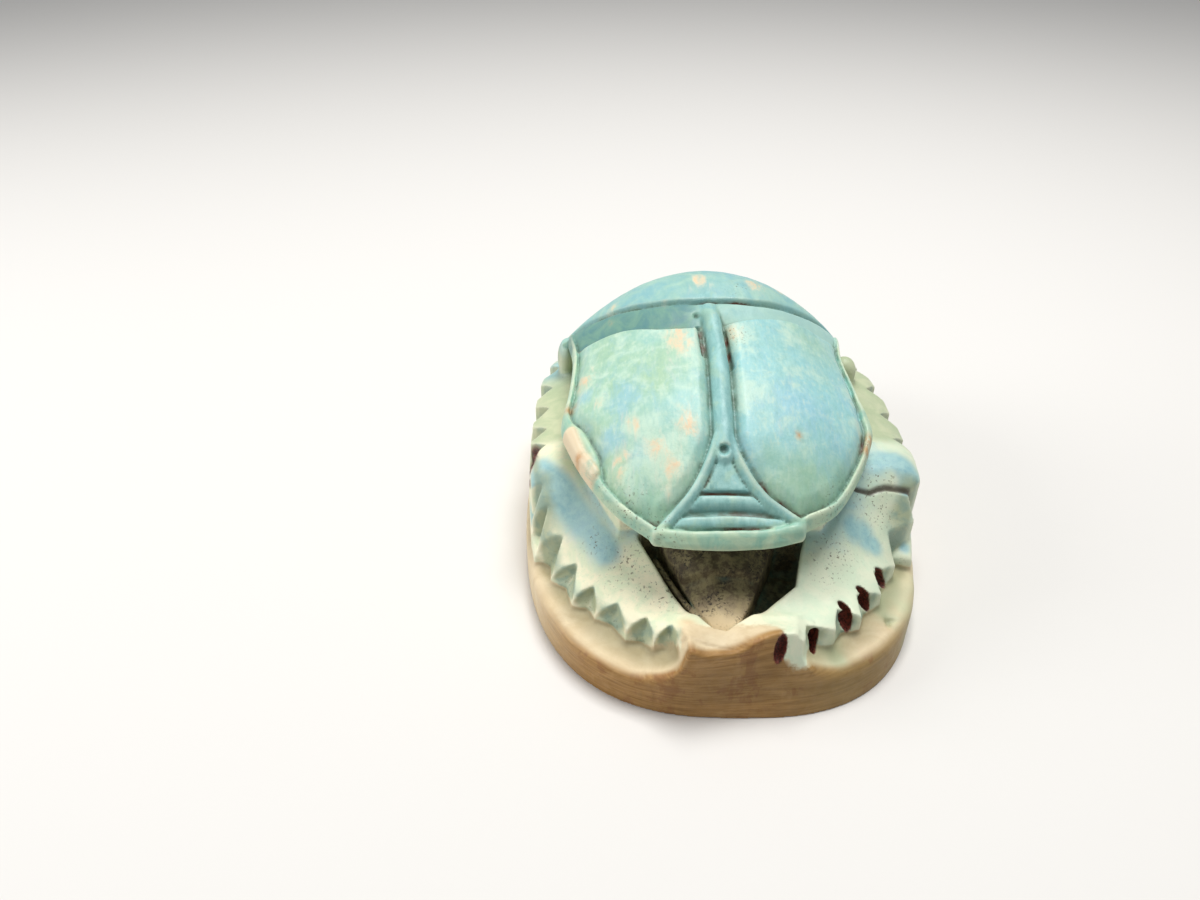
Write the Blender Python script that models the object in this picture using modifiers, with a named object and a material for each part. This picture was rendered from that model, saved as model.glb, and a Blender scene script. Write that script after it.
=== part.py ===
"""A scarab amulet carved from one piece: a beetle with folded legs on a flat oval base.

Lengths are in millimetres until a mesh is made, which is in metres.
+Y runs to the beetle's head, +X to its right, and +Z is up. The origin is the centre of the underside.
"""

import math

import bmesh
import bpy
import numpy as np

MM = 0.001

# The oval base
BASE_HALF_WIDTH = 21.0
BASE_HALF_LENGTH = 29.8
BASE_SQUARENESS = 2.7
LEDGE_HEIGHT = 3.7
LEDGE_FILLET = 2.2
LEDGE_RISE = 0.3
LEDGE_RISE_AT_TAIL = 1.1
TAIL_LEAN = ((-10, 0.0), (-5, 0.03), (-0.8, 0.14), (3.5, 0.27), (10, 0.25), (16, 0.1), (20, 0.05))

# The legs, which ring the body
LEGS_HALF_WIDTH = 20.3
LEGS_HALF_LENGTH = 28.6
LEGS_SQUARENESS_BEHIND = 2.0
LEGS_SQUARENESS_IN_FRONT = 2.5
EDGE_ROUNDING = 1.8
EDGE_DROP = 1.6
SHARP_EDGE_DROP = 0.6
LEG_SLOPE_WIDTH = 7.5

# The notches round the legs: degrees from the tail and half width, or places on Y along the sides
LEFT_NOTCHES = (
    (19.4, 1.7), (28.2, 1.6), (35.7, 1.6), (43.9, 1.6), (50.9, 1.5), (57.2, 1.25), (62.2, 1.05), (67.2, 1.0),
)
RIGHT_NOTCHES = (14.6, 23.4, 36.4, 44.4, 54.6, 67.0)
LEFT_SIDE_NOTCHES = (-5.2, -1.8, 2.6, 7.0, 11.8, 16.5, 20.5)
RIGHT_SIDE_NOTCHES = (-3.5, 2.0, 7.4, 12.4, 17.0, 21.0)
LEFT_NOTCH_DEPTH = 1.7
RIGHT_NOTCH_SIZE = (1.6, 0.9)
SIDE_NOTCH_SIZE = (1.35, 1.6)

# The back
BACK_CENTRE = -1.0
RIM_THICKNESS = 1.0
UNDERCUT_SLOPE = 0.75
CORE_SCALE = 0.91
LEFT_RIM_WIDTH = (
    (-22, 0.95), (-19, 0.85), (-15, 0.95), (-12, 1.9), (-9.5, 2.0), (-7, 1.3), (-5, 0.8), (10, 0.7),
)
RIGHT_RIM_WIDTH = (
    (-22, 0.95), (-19, 0.8), (-12, 0.7), (-9, 0.9), (-6.5, 1.3), (-4.5, 0.9), (0, 0.65), (10, 0.6),
)
RIM_RISE = 0.8
RIM_SWELLING = ((-15.9, -9.0), (-15.0, -11.6), (-13.6, -13.9))
RIM_SWELLING_HALF_WIDTH = 1.0
TAIL_BAR = ((-7.6, -20.45), (-4, -20.8), (2, -20.7), (5.6, -19.85))
TAIL_BAR_HALF_WIDTH = 0.62
GROUND_DEPTH = 0.45
PILLOW_HEIGHT = 0.95
PILLOW_SLOPE = 1.2
PRONOTUM_STEP = 0.65
PRONOTUM_EDGE = ((-16, 9.9), (-11.2, 7.5), (-6.1, 5.75), (-2.2, 5.1), (2.6, 5.6), (9.2, 7.7), (14, 10.2))
WING_FRONT = (
    (-16, 5.8), (-14.9, 5.2), (-11.2, 4.1), (-6.3, 1.95), (-3.3, 1.35), (-0.6, 1.5), (1.8, 2.5), (3.5, 3.3),
    (8.7, 5.3), (11.5, 5.8), (14, 6.6),
)
RIDGE_LINE = ((-1.35, 5.6), (-1.25, 2.5), (-0.95, -2.5), (-1.05, -8.3), (-1.1, -12.7), (-1.15, -14.2))
RIDGE_HALF_WIDTH = 1.08
RIDGE_HEIGHT = 1.3
RIDGE_DROP_AT_FRONT = 0.55
TRIANGLE_STRIP_HALF_WIDTH = 0.55
TRIANGLE_STRIP_HEIGHT = 0.95
LEFT_STRIP = ((-1.5, -12.2), (-2.3, -14.3), (-3.3, -16.2), (-4.35, -17.6), (-5.9, -19.0), (-7.6, -20.5))
RIGHT_STRIP = ((-0.7, -12.4), (0.0, -14.4), (1.0, -16.2), (2.5, -17.8), (4.3, -18.8), (5.9, -19.6))
RIB_CREST = -18.0
RIB_PITCH = 1.6
RIB_HEIGHT = 0.42

# The hollow under the tail
HOLLOW_FLOOR = 4.6
CORE_BACK_END = -15.6

# The head
HEAD_BACK = 15.0
HEAD_FRONT = 27.9
HEAD_TEETH = (-4.2, -1.4, 1.4, 4.2)
HEAD_CHANNEL = 1.3
HEAD_CHANNEL_FLOOR = 4.7
EYE_CENTRE = (7.6, 19.6, 12.3)
EYE_RADII = (1.5, 2.4, 1.3)

# How finely the form is made
GRID = 0.45
FINE_GRID = 0.28
VOXEL = 0.3
THINNEST = 0.3
DEEP = -1.5
TRIANGLES = 8800

# Heights and half widths along the length, each pair a place on Y and a value
SPINE_HEIGHT = (
    (-24, 11.5), (-21.5, 13.5), (-20.6, 14.2), (-18, 16.1), (-14.3, 18.7), (-10, 20.9), (-6, 22.2),
    (-2, 23.2), (1.4, 24.0), (5.4, 24.8), (9.4, 25.4), (12.5, 24.7), (15, 22.5), (17.5, 19.2),
    (19.5, 15.6), (21.5, 12.5),
)
RIM_HEIGHT = (
    (-24, 13.6), (-21, 13.9), (-17, 14.7), (-13, 15.5), (-8, 16.7), (-3, 17.4), (5, 17.8), (9, 17.6),
    (12, 16.5), (15, 14.5), (18, 12.8), (21.5, 12.0),
)
BACK_HALF_WIDTH = (
    (-24, 5.0), (-21.5, 6.5), (-20, 8.3), (-17.3, 10.7), (-13.3, 13.4), (-9.8, 15.1), (-7, 15.6),
    (-2.5, 15.3), (4, 15.0), (8.9, 15.6), (11.5, 15.5), (15.4, 13.6), (18.4, 9.5), (19.8, 4.5), (21.5, 2),
)
RIM_OUTLINE = (
    (0, -21.5), (3.5, -21.3), (6.3, -20.8), (7.8, -19.9), (10.7, -17.3), (13.4, -13.3), (15.1, -9.8),
    (15.9, -7.0), (15.3, -2.5), (15.0, 4), (15.6, 8.9), (15.5, 11.5), (13.6, 15.4), (9.5, 18.4),
    (4.5, 19.8), (0, 20.2),
)
RIGHT_CORNER_SHIFT = (-0.3, 0.6)
LEG_OUTER_HEIGHT = (
    (-29.6, 8.4), (-26.6, 7.8), (-23.6, 6.8), (-20.6, 6.3), (-16.6, 6.3), (-14.1, 7.0), (-12.1, 8.2),
    (-10.3, 10.3), (-8.6, 12.0), (-4.6, 12.7), (-1.6, 12.5), (3, 12.4), (11, 12.4), (17, 11.4),
    (22, 9.0), (28, 6.6),
)
LEG_INNER_HEIGHT = (
    (-29.6, 7.3), (-26.6, 7.4), (-22.6, 7.9), (-18.6, 9.0), (-15.6, 10.2), (-12.6, 11.6), (-8.6, 13.0),
    (-4.6, 13.7), (0, 14.2), (10, 14.2), (17, 12.4), (22, 9.8), (28, 7.0),
)
HOLLOW_OUTLINE = (
    (-9.6, -12.6), (-8.9, -16.2), (-6.7, -19.9), (-4.6, -23.3), (-2.6, -26.2), (-1.2, -26.7), (1.2, -24.6),
    (3.6, -22.4), (5.9, -20.5), (6.7, -17.4), (8.4, -12.6),
)
BELLY_MIDDLE = -1.2
BELLY_HALF_WIDTH = ((-27.1, 0.3), (-25.6, 0.9), (-22.6, 2.6), (-18.6, 4.4), (-13, 7.0))
BELLY_HEIGHT = (
    (-27.1, 6.2), (-25.6, 6.9), (-22.6, 8.0), (-20.6, 8.8), (-20.2, 9.6), (-16.6, 11.0), (-13, 12.2),
)
HEEL_CREST = ((-6.5, 8.7), (-5, 8.4), (-3, 7.6), (-1, 7.4), (1, 7.9), (3.5, 8.7), (6.5, 8.6))
HEEL_HALF_WIDTH = 6.0
HEEL_TAPER = 0.04
HEEL_FRONT = -24.5
TAIL_SLOT = ((4.5, -27.9, 7.4), (0.6, 1.3, 2.9))
SHOULDERS = (((-16.8, 10.4, 14.7), (1.1, 1.7, 2.4)), ((15.6, 8.6, 14.2), (1.4, 1.5, 1.8)))
FOOT_HEIGHT = ((-15, 4.6), (-13.2, 5.4), (-9, 7.0), (-4, 9.5), (0, 10.5), (4, 10.5))
KNEES = ((17.4, -7.8), (-17.4, -8.6))
KNEE_SPREAD = (3.0, 3.8)
KNEE_RISE = 0.9
KNEE_BULGE = 0.45
RIGHT_HIND_BULGE = 0.5
HEAD_HEIGHT = ((14, 16.0), (18, 14.8), (20.5, 13.0), (22.6, 11.2), (23.2, 10.2), (26, 8.8), (28.5, 7.4))
HEAD_OUTLINE = ((8.8, 15.0), (8.8, 18.0), (7.4, 21.5), (6.9, 24.5), (6.0, 27.9))


# Curves and distances


def smooth_step(start, end, value):
    part = np.clip((value - start) / (end - start), 0, 1)
    return part * part * (3 - 2 * part)


def along(knots, place):
    """The smooth curve through the knots, read at a place or an array of places."""
    at, value = np.array(knots, float).T
    rate = np.diff(value) / np.diff(at)
    slope = np.empty_like(value)
    same_way = rate[1:] * rate[:-1] > 0
    slope[1:-1] = np.where(same_way, 2 * rate[1:] * rate[:-1] / (rate[1:] + rate[:-1] + 1e-12), 0)
    slope[0], slope[-1] = rate[0], rate[-1]
    place = np.asarray(place, float)
    k = np.clip(np.searchsorted(at, place) - 1, 0, len(at) - 2)
    gap = at[k + 1] - at[k]
    t = np.clip((place - at[k]) / gap, 0, 1)
    start = (1 + 2 * t) * (1 - t) ** 2 * value[k] + t * (1 - t) ** 2 * gap * slope[k]
    return start + t * t * (3 - 2 * t) * value[k + 1] + t * t * (t - 1) * gap * slope[k + 1]


def spline(points, steps, closed=False):
    """A Catmull-Rom curve through the points."""
    p = np.array(points, float)
    if closed:
        p = np.vstack([p[-1:], p, p[:2]])
    else:
        p = np.vstack([2 * p[:1] - p[1:2], p, 2 * p[-1:] - p[-2:-1]])
    t = np.linspace(0, 1, steps, endpoint=False)[:, None]
    spans = []
    for a, b, c, d in zip(p[:-3], p[1:-2], p[2:-1], p[3:]):
        bend = 2 * a - 5 * b + 4 * c - d
        spans.append(b + t * (c - a) / 2 + t**2 * bend / 2 + t**3 * (3 * b - 3 * c + d - a) / 2)
    return np.vstack(spans) if closed else np.vstack(spans + [p[-2:-1]])


def distance_to(path, x, y):
    """How far each point is from a path of straight pieces."""
    path = np.asarray(path, float)
    least = np.full(np.shape(x), np.inf)
    for a, b in zip(path[:-1], path[1:]):
        run = b - a
        t = np.clip(((x - a[0]) * run[0] + (y - a[1]) * run[1]) / max(run @ run, 1e-12), 0, 1)
        least = np.minimum(least, (x - a[0] - t * run[0]) ** 2 + (y - a[1] - t * run[1]) ** 2)
    return np.sqrt(least)


def depth_inside(outline, x, y):
    """How far each point is inside a closed outline, and less than nothing outside it."""
    inside = np.zeros(np.shape(x), bool)
    for a, b in zip(outline, np.roll(outline, -1, axis=0)):
        if a[1] != b[1]:
            crossing = a[0] + (y - a[1]) * (b[0] - a[0]) / (b[1] - a[1])
            inside ^= ((a[1] > y) != (b[1] > y)) & (x < crossing)
    distance = distance_to(np.vstack([outline, outline[:1]]), x, y)
    return np.where(inside, distance, -distance)


def oval(half_width, half_length, squareness, count):
    """A superellipse. Its angle starts at the tail and goes round by the right side."""
    angle = np.radians(np.linspace(-180, 180, count, endpoint=False))
    s, c = np.sin(angle), np.cos(angle)
    x = half_width * np.sign(s) * np.abs(s) ** (2 / squareness)
    y = -half_length * np.sign(c) * np.abs(c) ** (2 / squareness)
    return np.stack([x, y], 1), np.degrees(angle)


def base_outline(count=180):
    return oval(BASE_HALF_WIDTH, BASE_HALF_LENGTH, BASE_SQUARENESS, count)[0]


def legs_outline(cuts=(), count=720):
    """The legs' outer edge, with a rounded V cut at each station given as degrees, half width and depth."""
    behind, degrees = oval(LEGS_HALF_WIDTH, LEGS_HALF_LENGTH, LEGS_SQUARENESS_BEHIND, count)
    ahead, _ = oval(LEGS_HALF_WIDTH, LEGS_HALF_LENGTH, LEGS_SQUARENESS_IN_FRONT, count)
    edge = np.where(behind[:, 1:] < 0, behind, ahead)
    edge[:, 0] *= 1 + KNEE_BULGE / LEGS_HALF_WIDTH * np.exp(-(((edge[:, 1] + 8.2) / 4) ** 2))
    hind = np.exp(-(((degrees - 32) / 16) ** 2))
    edge *= 1 + RIGHT_HIND_BULGE / LEGS_HALF_LENGTH * hind[:, None]
    along_edge = np.roll(edge, -1, axis=0) - np.roll(edge, 1, axis=0)
    length = np.linalg.norm(along_edge, axis=1)
    outward = np.stack([along_edge[:, 1], -along_edge[:, 0]], 1) / length[:, None]
    travelled = np.cumsum(length / 2)
    cut = np.zeros(count)
    for station, half_width, depth in cuts:
        middle = travelled[np.argmin(np.abs(degrees - station))]
        part = np.clip(1 - (np.abs(travelled - middle) / half_width) ** 1.35, 0, 1)
        cut = np.maximum(cut, depth * part)
    return edge - cut[:, None] * outward


def side_station(y):
    """The angle from the tail at which the legs' outer edge reaches a place on Y."""
    squareness = LEGS_SQUARENESS_IN_FRONT if y > 0 else LEGS_SQUARENESS_BEHIND
    part = (abs(y) / LEGS_HALF_LENGTH) ** (squareness / 2)
    return 90 + math.copysign(math.degrees(math.asin(part)), y)


def notches():
    side = [-side_station(y) for y in LEFT_SIDE_NOTCHES] + [side_station(y) for y in RIGHT_SIDE_NOTCHES]
    cuts = [(-a, half_width, LEFT_NOTCH_DEPTH) for a, half_width in LEFT_NOTCHES]
    cuts += [(a, *RIGHT_NOTCH_SIZE) for a in RIGHT_NOTCHES]
    return cuts + [(a, *SIDE_NOTCH_SIZE) for a in side]


def rim_outline(steps=6):
    """The edge of the back. Its tail corner on the right is a little shorter than the left one."""
    half = np.array(RIM_OUTLINE)
    points = np.vstack([half, (half * [-1, 1])[-2:0:-1]])
    corner = smooth_step(-17, -19.5, points[:, 1]) * smooth_step(1, 5, points[:, 0])
    points = points + np.outer(corner, RIGHT_CORNER_SHIFT)
    return spline(points, steps, closed=True) + [BACK_CENTRE, 0]


# The carved surfaces, as heights over the plan


def ledge_height(x, y):
    """The ledge round the legs, with a soft fillet up to them."""
    away = np.maximum(-depth_inside(legs_outline(count=240), x, y), 0)
    tail = smooth_step(10.0, 5.6, np.abs(x)) * smooth_step(-21, -26, y)
    return LEDGE_HEIGHT + LEDGE_RISE * np.clip(1 - away / LEDGE_FILLET, 0, 1) ** 2 + LEDGE_RISE_AT_TAIL * tail


def legs_height(x, y):
    """The legs' top, from the teeth in to the body, rounded over at the outer edge."""
    depth = np.maximum(depth_inside(legs_outline(count=240), x, y), 0)
    outer, inner = along(LEG_OUTER_HEIGHT, y), along(LEG_INNER_HEIGHT, y)
    slope = outer + (inner - outer) * smooth_step(0, LEG_SLOPE_WIDTH, depth)
    for knee_x, knee_y in KNEES:
        across, back = (x - knee_x) / KNEE_SPREAD[0], (y - knee_y) / KNEE_SPREAD[1]
        slope = slope + KNEE_RISE * np.exp(-(across**2) - back**2)
    sharp = np.maximum(smooth_step(-2, 3, x), smooth_step(-7, -4, y))
    drop = EDGE_DROP + (SHARP_EDGE_DROP - EDGE_DROP) * sharp
    return slope - drop * np.clip(1 - depth / EDGE_ROUNDING, 0, 1) ** 2


def dome_height(x, y):
    """The plain dome of the back, before its carving."""
    across = np.clip(np.abs(x - BACK_CENTRE) / along(BACK_HALF_WIDTH, y), 0, 1.15)
    rim, spine = along(RIM_HEIGHT, y), along(SPINE_HEIGHT, y)
    return rim + (spine - rim) * (1 - across**2.1)


def rounded(distance, half_width):
    """The profile of a rounded strip: 1 on its middle line and 0 at its edges."""
    return np.clip(1 - np.abs(distance / half_width) ** 2.6, 0, 1) ** 0.8


def rim_width(x, y):
    side = smooth_step(-2, 2, x - BACK_CENTRE)
    return along(LEFT_RIM_WIDTH, y) * (1 - side) + along(RIGHT_RIM_WIDTH, y) * side


def back_height(x, y):
    """The back: pronotum, band, two wing cases, the ridge between them and the ribbed triangle."""
    inside = depth_inside(rim_outline(), x, y)
    width = rim_width(x, y)
    past_edge = y - along(PRONOTUM_EDGE, x)
    past_front = y - along(WING_FRONT, x)
    ridge = distance_to(spline(RIDGE_LINE, 8), x, y)
    left, right = spline(LEFT_STRIP, 6), spline(RIGHT_STRIP, 6)
    strips = np.minimum(distance_to(left, x, y), distance_to(right, x, y))
    corners = np.vstack([left, [(LEFT_STRIP[-1][0], -24), (RIGHT_STRIP[-1][0], -24)], right[::-1]])
    in_triangle = depth_inside(corners, x, y)
    wing = np.minimum(inside - width, -past_front)
    wing = np.minimum(wing, ridge - RIDGE_HALF_WIDTH)
    wing = np.minimum(wing, strips - TRIANGLE_STRIP_HALF_WIDTH)
    wing = np.minimum(wing, -in_triangle)

    ground = dome_height(x, y) - GROUND_DEPTH
    pillow = PILLOW_HEIGHT * smooth_step(-0.1, PILLOW_SLOPE, wing) ** 0.75
    band = 0.1 + 0.3 * smooth_step(0.2, 2.6, past_front)
    height = ground + np.where(past_front > 0, band, pillow)
    height = np.where(past_edge > 0, ground + PRONOTUM_STEP * smooth_step(-0.35, 0.4, past_edge), height)
    height -= 0.45 * np.exp(-((past_edge / 0.27) ** 2)) * smooth_step(0, 0.5, inside)

    place = (y - RIB_CREST) * math.tau / RIB_PITCH
    ribs = RIB_HEIGHT * np.clip(np.cos(place - 0.5 * np.sin(place)), -1, 0.9)
    ribs = np.where(y < RIB_CREST + RIB_PITCH / 2, ribs, 0.25)
    height += (ribs + 0.2) * smooth_step(0.35, 0.75, in_triangle) * (y < -15)

    rim = np.where(past_edge < -0.4, np.abs(inside - width / 2), width)
    ridge_rise = RIDGE_HEIGHT - RIDGE_DROP_AT_FRONT * smooth_step(-3.5, -0.8, past_edge)
    for distance, half_width, rise in (
        (ridge, RIDGE_HALF_WIDTH, ridge_rise * smooth_step(-0.2, -0.6, past_edge)),
        (strips, TRIANGLE_STRIP_HALF_WIDTH, TRIANGLE_STRIP_HEIGHT),
        (rim, width / 2, RIM_RISE),
        (distance_to(spline(TAIL_BAR, 6), x, y), TAIL_BAR_HALF_WIDTH, RIM_RISE + 0.15),
        (distance_to(spline(RIM_SWELLING, 6), x, y), RIM_SWELLING_HALF_WIDTH, RIM_RISE + 0.45),
    ):
        height = np.maximum(height, ground + rise * rounded(distance, half_width))
    return height


def back_underside(x, y):
    """The back's underside: it hangs over the legs and the hollow, and slopes down to the body."""
    inside = np.maximum(depth_inside(rim_outline(), x, y), 0)
    return along(RIM_HEIGHT, y) - RIM_THICKNESS - UNDERCUT_SLOPE * np.maximum(inside - 0.9, 0)


# Blender objects


def clear_scene():
    for obj in list(bpy.data.objects):
        bpy.data.objects.remove(obj, do_unlink=True)


def add(name, mesh, collection):
    obj = bpy.data.objects.new(name, mesh)
    collection.objects.link(obj)
    return obj


def baked(obj):
    """Applies the object's modifiers to its mesh."""
    bpy.context.view_layer.update()
    graph = bpy.context.evaluated_depsgraph_get()
    mesh = bpy.data.meshes.new_from_object(obj.evaluated_get(graph))
    obj.modifiers.clear()
    obj.data = mesh
    return obj


def prism(name, outline, bottom, top, collection):
    """A flat outline, as a filled 2D curve, extruded from one height to another."""
    curve = bpy.data.curves.new(name, "CURVE")
    curve.dimensions = "2D"
    curve.fill_mode = "BOTH"
    curve.extrude = (top - bottom) / 2 * MM
    line = curve.splines.new("POLY")
    line.points.add(len(outline) - 1)
    for point, (x, y) in zip(line.points, outline):
        point.co = (x * MM, y * MM, 0, 1)
    line.use_cyclic_u = True
    guide = add(name + "_curve", curve, collection)
    bpy.context.view_layer.update()
    graph = bpy.context.evaluated_depsgraph_get()
    mesh = bpy.data.meshes.new_from_object(guide.evaluated_get(graph))
    bpy.data.objects.remove(guide)
    bm = bmesh.new()
    bm.from_mesh(mesh)
    bmesh.ops.remove_doubles(bm, verts=bm.verts, dist=0.00001)
    bmesh.ops.translate(bm, verts=bm.verts, vec=(0, 0, (top + bottom) / 2 * MM))
    bmesh.ops.recalc_face_normals(bm, faces=bm.faces)
    bm.to_mesh(mesh)
    bm.free()
    return add(name, mesh, collection)


def as_cutter(obj):
    obj.hide_render = True
    obj.display_type = "WIRE"
    return obj


def boolean(obj, operation, other):
    modifier = obj.modifiers.new(operation.title(), "BOOLEAN")
    modifier.operation = operation
    modifier.object = other
    modifier.solver = "EXACT"


def relief(name, outline, underside, surface, collection, cutters, cell=GRID):
    """A block with a carved surface over the plan, trimmed to an outline.

    surface is a function of x and y, and underside is another or a plain height.
    """
    low, high = outline.min(axis=0) - 1, outline.max(axis=0) + 1
    size, middle = high - low, (high + low) / 2
    bm = bmesh.new()
    columns, rows = (int(round(s / cell)) for s in size)
    bmesh.ops.create_grid(bm, x_segments=columns, y_segments=rows, size=0.5)
    lower = list(bm.verts)
    made = bmesh.ops.extrude_face_region(bm, geom=bm.faces[:])
    upper = [v for v in made["geom"] if isinstance(v, bmesh.types.BMVert)]
    for verts, is_top in ((lower, False), (upper, True)):
        x = np.array([v.co.x for v in verts]) * size[0] + middle[0]
        y = np.array([v.co.y for v in verts]) * size[1] + middle[1]
        z = underside(x, y) if callable(underside) else np.full(len(verts), float(underside))
        if is_top:
            z = np.maximum(surface(x, y), z + THINNEST)
        for vert, *place in zip(verts, x * MM, y * MM, z * MM):
            vert.co = place
    bmesh.ops.recalc_face_normals(bm, faces=bm.faces)
    mesh = bpy.data.meshes.new(name)
    bm.to_mesh(mesh)
    bm.free()
    piece = add(name, mesh, collection)
    trim = as_cutter(prism(name + "_trim", outline, -10, 40, cutters))
    boolean(piece, "INTERSECT", trim)
    return piece


def ellipsoid(name, centre, radii, collection):
    bm = bmesh.new()
    bmesh.ops.create_uvsphere(bm, u_segments=24, v_segments=16, radius=1)
    bmesh.ops.scale(bm, verts=bm.verts, vec=[r * MM for r in radii])
    bmesh.ops.translate(bm, verts=bm.verts, vec=[c * MM for c in centre])
    mesh = bpy.data.meshes.new(name)
    bm.to_mesh(mesh)
    bm.free()
    return add(name, mesh, collection)


def lean_tail(obj):
    """Leans the filed tail end towards the head, by a share of the height that varies across it."""
    for vert in obj.data.vertices:
        x, y, z = vert.co / MM
        vert.co.y += z * float(along(TAIL_LEAN, x) * smooth_step(-18, -24, y)) * MM


def narrow_upwards(obj):
    """Draws the heel's sides in as they rise above the ledge."""
    for vert in obj.data.vertices:
        vert.co.x *= 1 - HEEL_TAPER * max(vert.co.z / MM - LEDGE_HEIGHT, 0)


# The pieces of the form


def build_pieces(collection, cutters):
    hollow = as_cutter(prism("hollow", np.array(HOLLOW_OUTLINE), HOLLOW_FLOOR, 30, cutters))
    base = relief("base", base_outline(), DEEP, ledge_height, collection, cutters)
    legs = relief("legs", legs_outline(notches()), DEEP, legs_height, collection, cutters)
    boolean(legs, "DIFFERENCE", hollow)

    wide = HEEL_HALF_WIDTH
    heel_plan = [p for p in base_outline(720) if abs(p[0]) <= wide and p[1] < 0]
    heel_plan = np.array(heel_plan + [(wide, HEEL_FRONT), (-wide, HEEL_FRONT)])
    heel = relief("heel", heel_plan, DEEP, heel_height, collection, cutters)
    narrow_upwards(baked(heel))
    for piece in (baked(base), heel):
        lean_tail(piece)
    boolean(heel, "DIFFERENCE", hollow)
    boolean(heel, "DIFFERENCE", as_cutter(ellipsoid("tail_slot", *TAIL_SLOT, cutters)))

    rim = rim_outline()
    middle = np.array([BACK_CENTRE, 0])
    core_plan = middle + (rim[rim[:, 1] > CORE_BACK_END] - middle) * CORE_SCALE
    core = relief("core", core_plan, DEEP, lambda x, y: along(RIM_HEIGHT, y), collection, cutters)

    y = np.linspace(BELLY_HALF_WIDTH[0][0], BELLY_HALF_WIDTH[-1][0], 24)
    half = along(BELLY_HALF_WIDTH, y)
    left, right = np.stack([BELLY_MIDDLE - half, y], 1), np.stack([BELLY_MIDDLE + half, y], 1)
    belly = relief("belly", np.vstack([right, left[::-1]]), DEEP, belly_height, collection, cutters)

    back = relief("back", rim, back_underside, back_height, collection, cutters, FINE_GRID)
    shoulders = [ellipsoid(f"shoulder_{k}", *shape, collection) for k, shape in enumerate(SHOULDERS)]
    feet = [build_foot(side, collection, cutters) for side in (-1, 1)]
    head = build_head(legs, collection, cutters)
    return [base, legs, heel, core, belly, back, *shoulders, *feet, *head]


def heel_height(x, y):
    """The heel's top: it climbs from the legs' surface to the crest of the filed tail end."""
    legs = legs_height(x, y) - 0.1
    return legs + (along(HEEL_CREST, x) - legs) * smooth_step(HEEL_FRONT - 0.3, HEEL_FRONT - 3.3, y)


def belly_height(x, y):
    return along(BELLY_HEIGHT, y) - 0.08 * (x - BACK_CENTRE) ** 2


def build_foot(side, collection, cutters):
    """The middle leg's foot, lying on the ledge outside the hind leg."""
    edge = base_outline(720) * (1 - 0.5 / BASE_HALF_WIDTH)
    outer = np.array([p for p in edge if p[0] * side > 0 and -13.8 < p[1] < 3])
    inner = outer * [0.85, 1]
    plan = np.vstack([outer, inner[::-1]])
    return relief(f"foot_{side}", plan, DEEP, lambda x, y: along(FOOT_HEIGHT, y), collection, cutters)


def build_head(legs, collection, cutters):
    """The head plate with its toothed front edge and two eyes, in a channel between the forelegs."""
    side = np.array(HEAD_OUTLINE)
    edge_x = np.linspace(side[-1][0], -side[-1][0], 61)[1:-1]
    notch = np.zeros(len(edge_x))
    for tooth in HEAD_TEETH:
        notch = np.maximum(notch, 1.1 * np.clip(1 - np.abs(edge_x - tooth) / 0.8, 0, 1))
    front = np.stack([edge_x, HEAD_FRONT + 0.5 * (1 - (edge_x / side[-1][0]) ** 2) - notch], 1)
    plan = np.vstack([side, front, (side * [-1, 1])[::-1]]) + [BACK_CENTRE / 2, 0]
    head = relief("head", plan, DEEP, head_height, collection, cutters)
    wall = np.vstack([side, (side[-1][0], BASE_HALF_LENGTH)]) + [HEAD_CHANNEL, 0]
    channel_plan = np.vstack([wall, (wall * [-1, 1])[::-1]]) + [BACK_CENTRE / 2, 0]
    channel = prism("head_channel", channel_plan, HEAD_CHANNEL_FLOOR, 30, cutters)
    boolean(legs, "DIFFERENCE", as_cutter(channel))
    x, y, z = EYE_CENTRE
    eyes = [ellipsoid(f"eye_{s}", (s * x + BACK_CENTRE / 2, y, z), EYE_RADII, collection) for s in (-1, 1)]
    return [head, *eyes]


def head_height(x, y):
    return along(HEAD_HEIGHT, y) - 0.03 * (x - BACK_CENTRE / 2) ** 2


def carve(pieces, collection, cutters):
    """Fuses the pieces into one stone, evens the surface and cuts the underside flat."""
    bm = bmesh.new()
    for piece in pieces:
        bm.from_mesh(baked(piece).data)
        bpy.data.objects.remove(piece)
    bmesh.ops.triangulate(bm, faces=bm.faces)
    mesh = bpy.data.meshes.new("scarab_amulet")
    bm.to_mesh(mesh)
    bm.free()
    stone = add("scarab_amulet", mesh, collection)
    remesh = stone.modifiers.new("Remesh", "REMESH")
    remesh.mode = "VOXEL"
    remesh.voxel_size = VOXEL * MM
    smooth = stone.modifiers.new("Smooth", "SMOOTH")
    smooth.factor = 0.4
    smooth.iterations = 2
    baked(stone)
    stone.data.calc_loop_triangles()
    decimate = stone.modifiers.new("Decimate", "DECIMATE")
    decimate.ratio = TRIANGLES / len(stone.data.loop_triangles)
    box = [(-40, -40), (40, -40), (40, 40), (-40, 40)]
    above = as_cutter(prism("above_ground", np.array(box), 0, 40, cutters))
    boolean(stone, "INTERSECT", above)
    return stone


def glaze_material():
    material = bpy.data.materials.new("turquoise_glaze")
    material.use_nodes = True
    shader = material.node_tree.nodes["Principled BSDF"]
    shader.inputs["Base Color"].default_value = (0.27, 0.55, 0.52, 1)
    shader.inputs["Roughness"].default_value = 0.35
    shader.inputs["Metallic"].default_value = 0.0
    return material


def main():
    clear_scene()
    scene = bpy.context.scene
    amulet = bpy.data.collections.new("scarab_amulet")
    cutters = bpy.data.collections.new("cutters")
    scene.collection.children.link(amulet)
    scene.collection.children.link(cutters)
    stone = carve(build_pieces(amulet, cutters), amulet, cutters)
    stone.data.materials.append(glaze_material())


main()
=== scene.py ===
import math

import bpy
import numpy as np
import openvdb
from mathutils import Matrix, Vector


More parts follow.
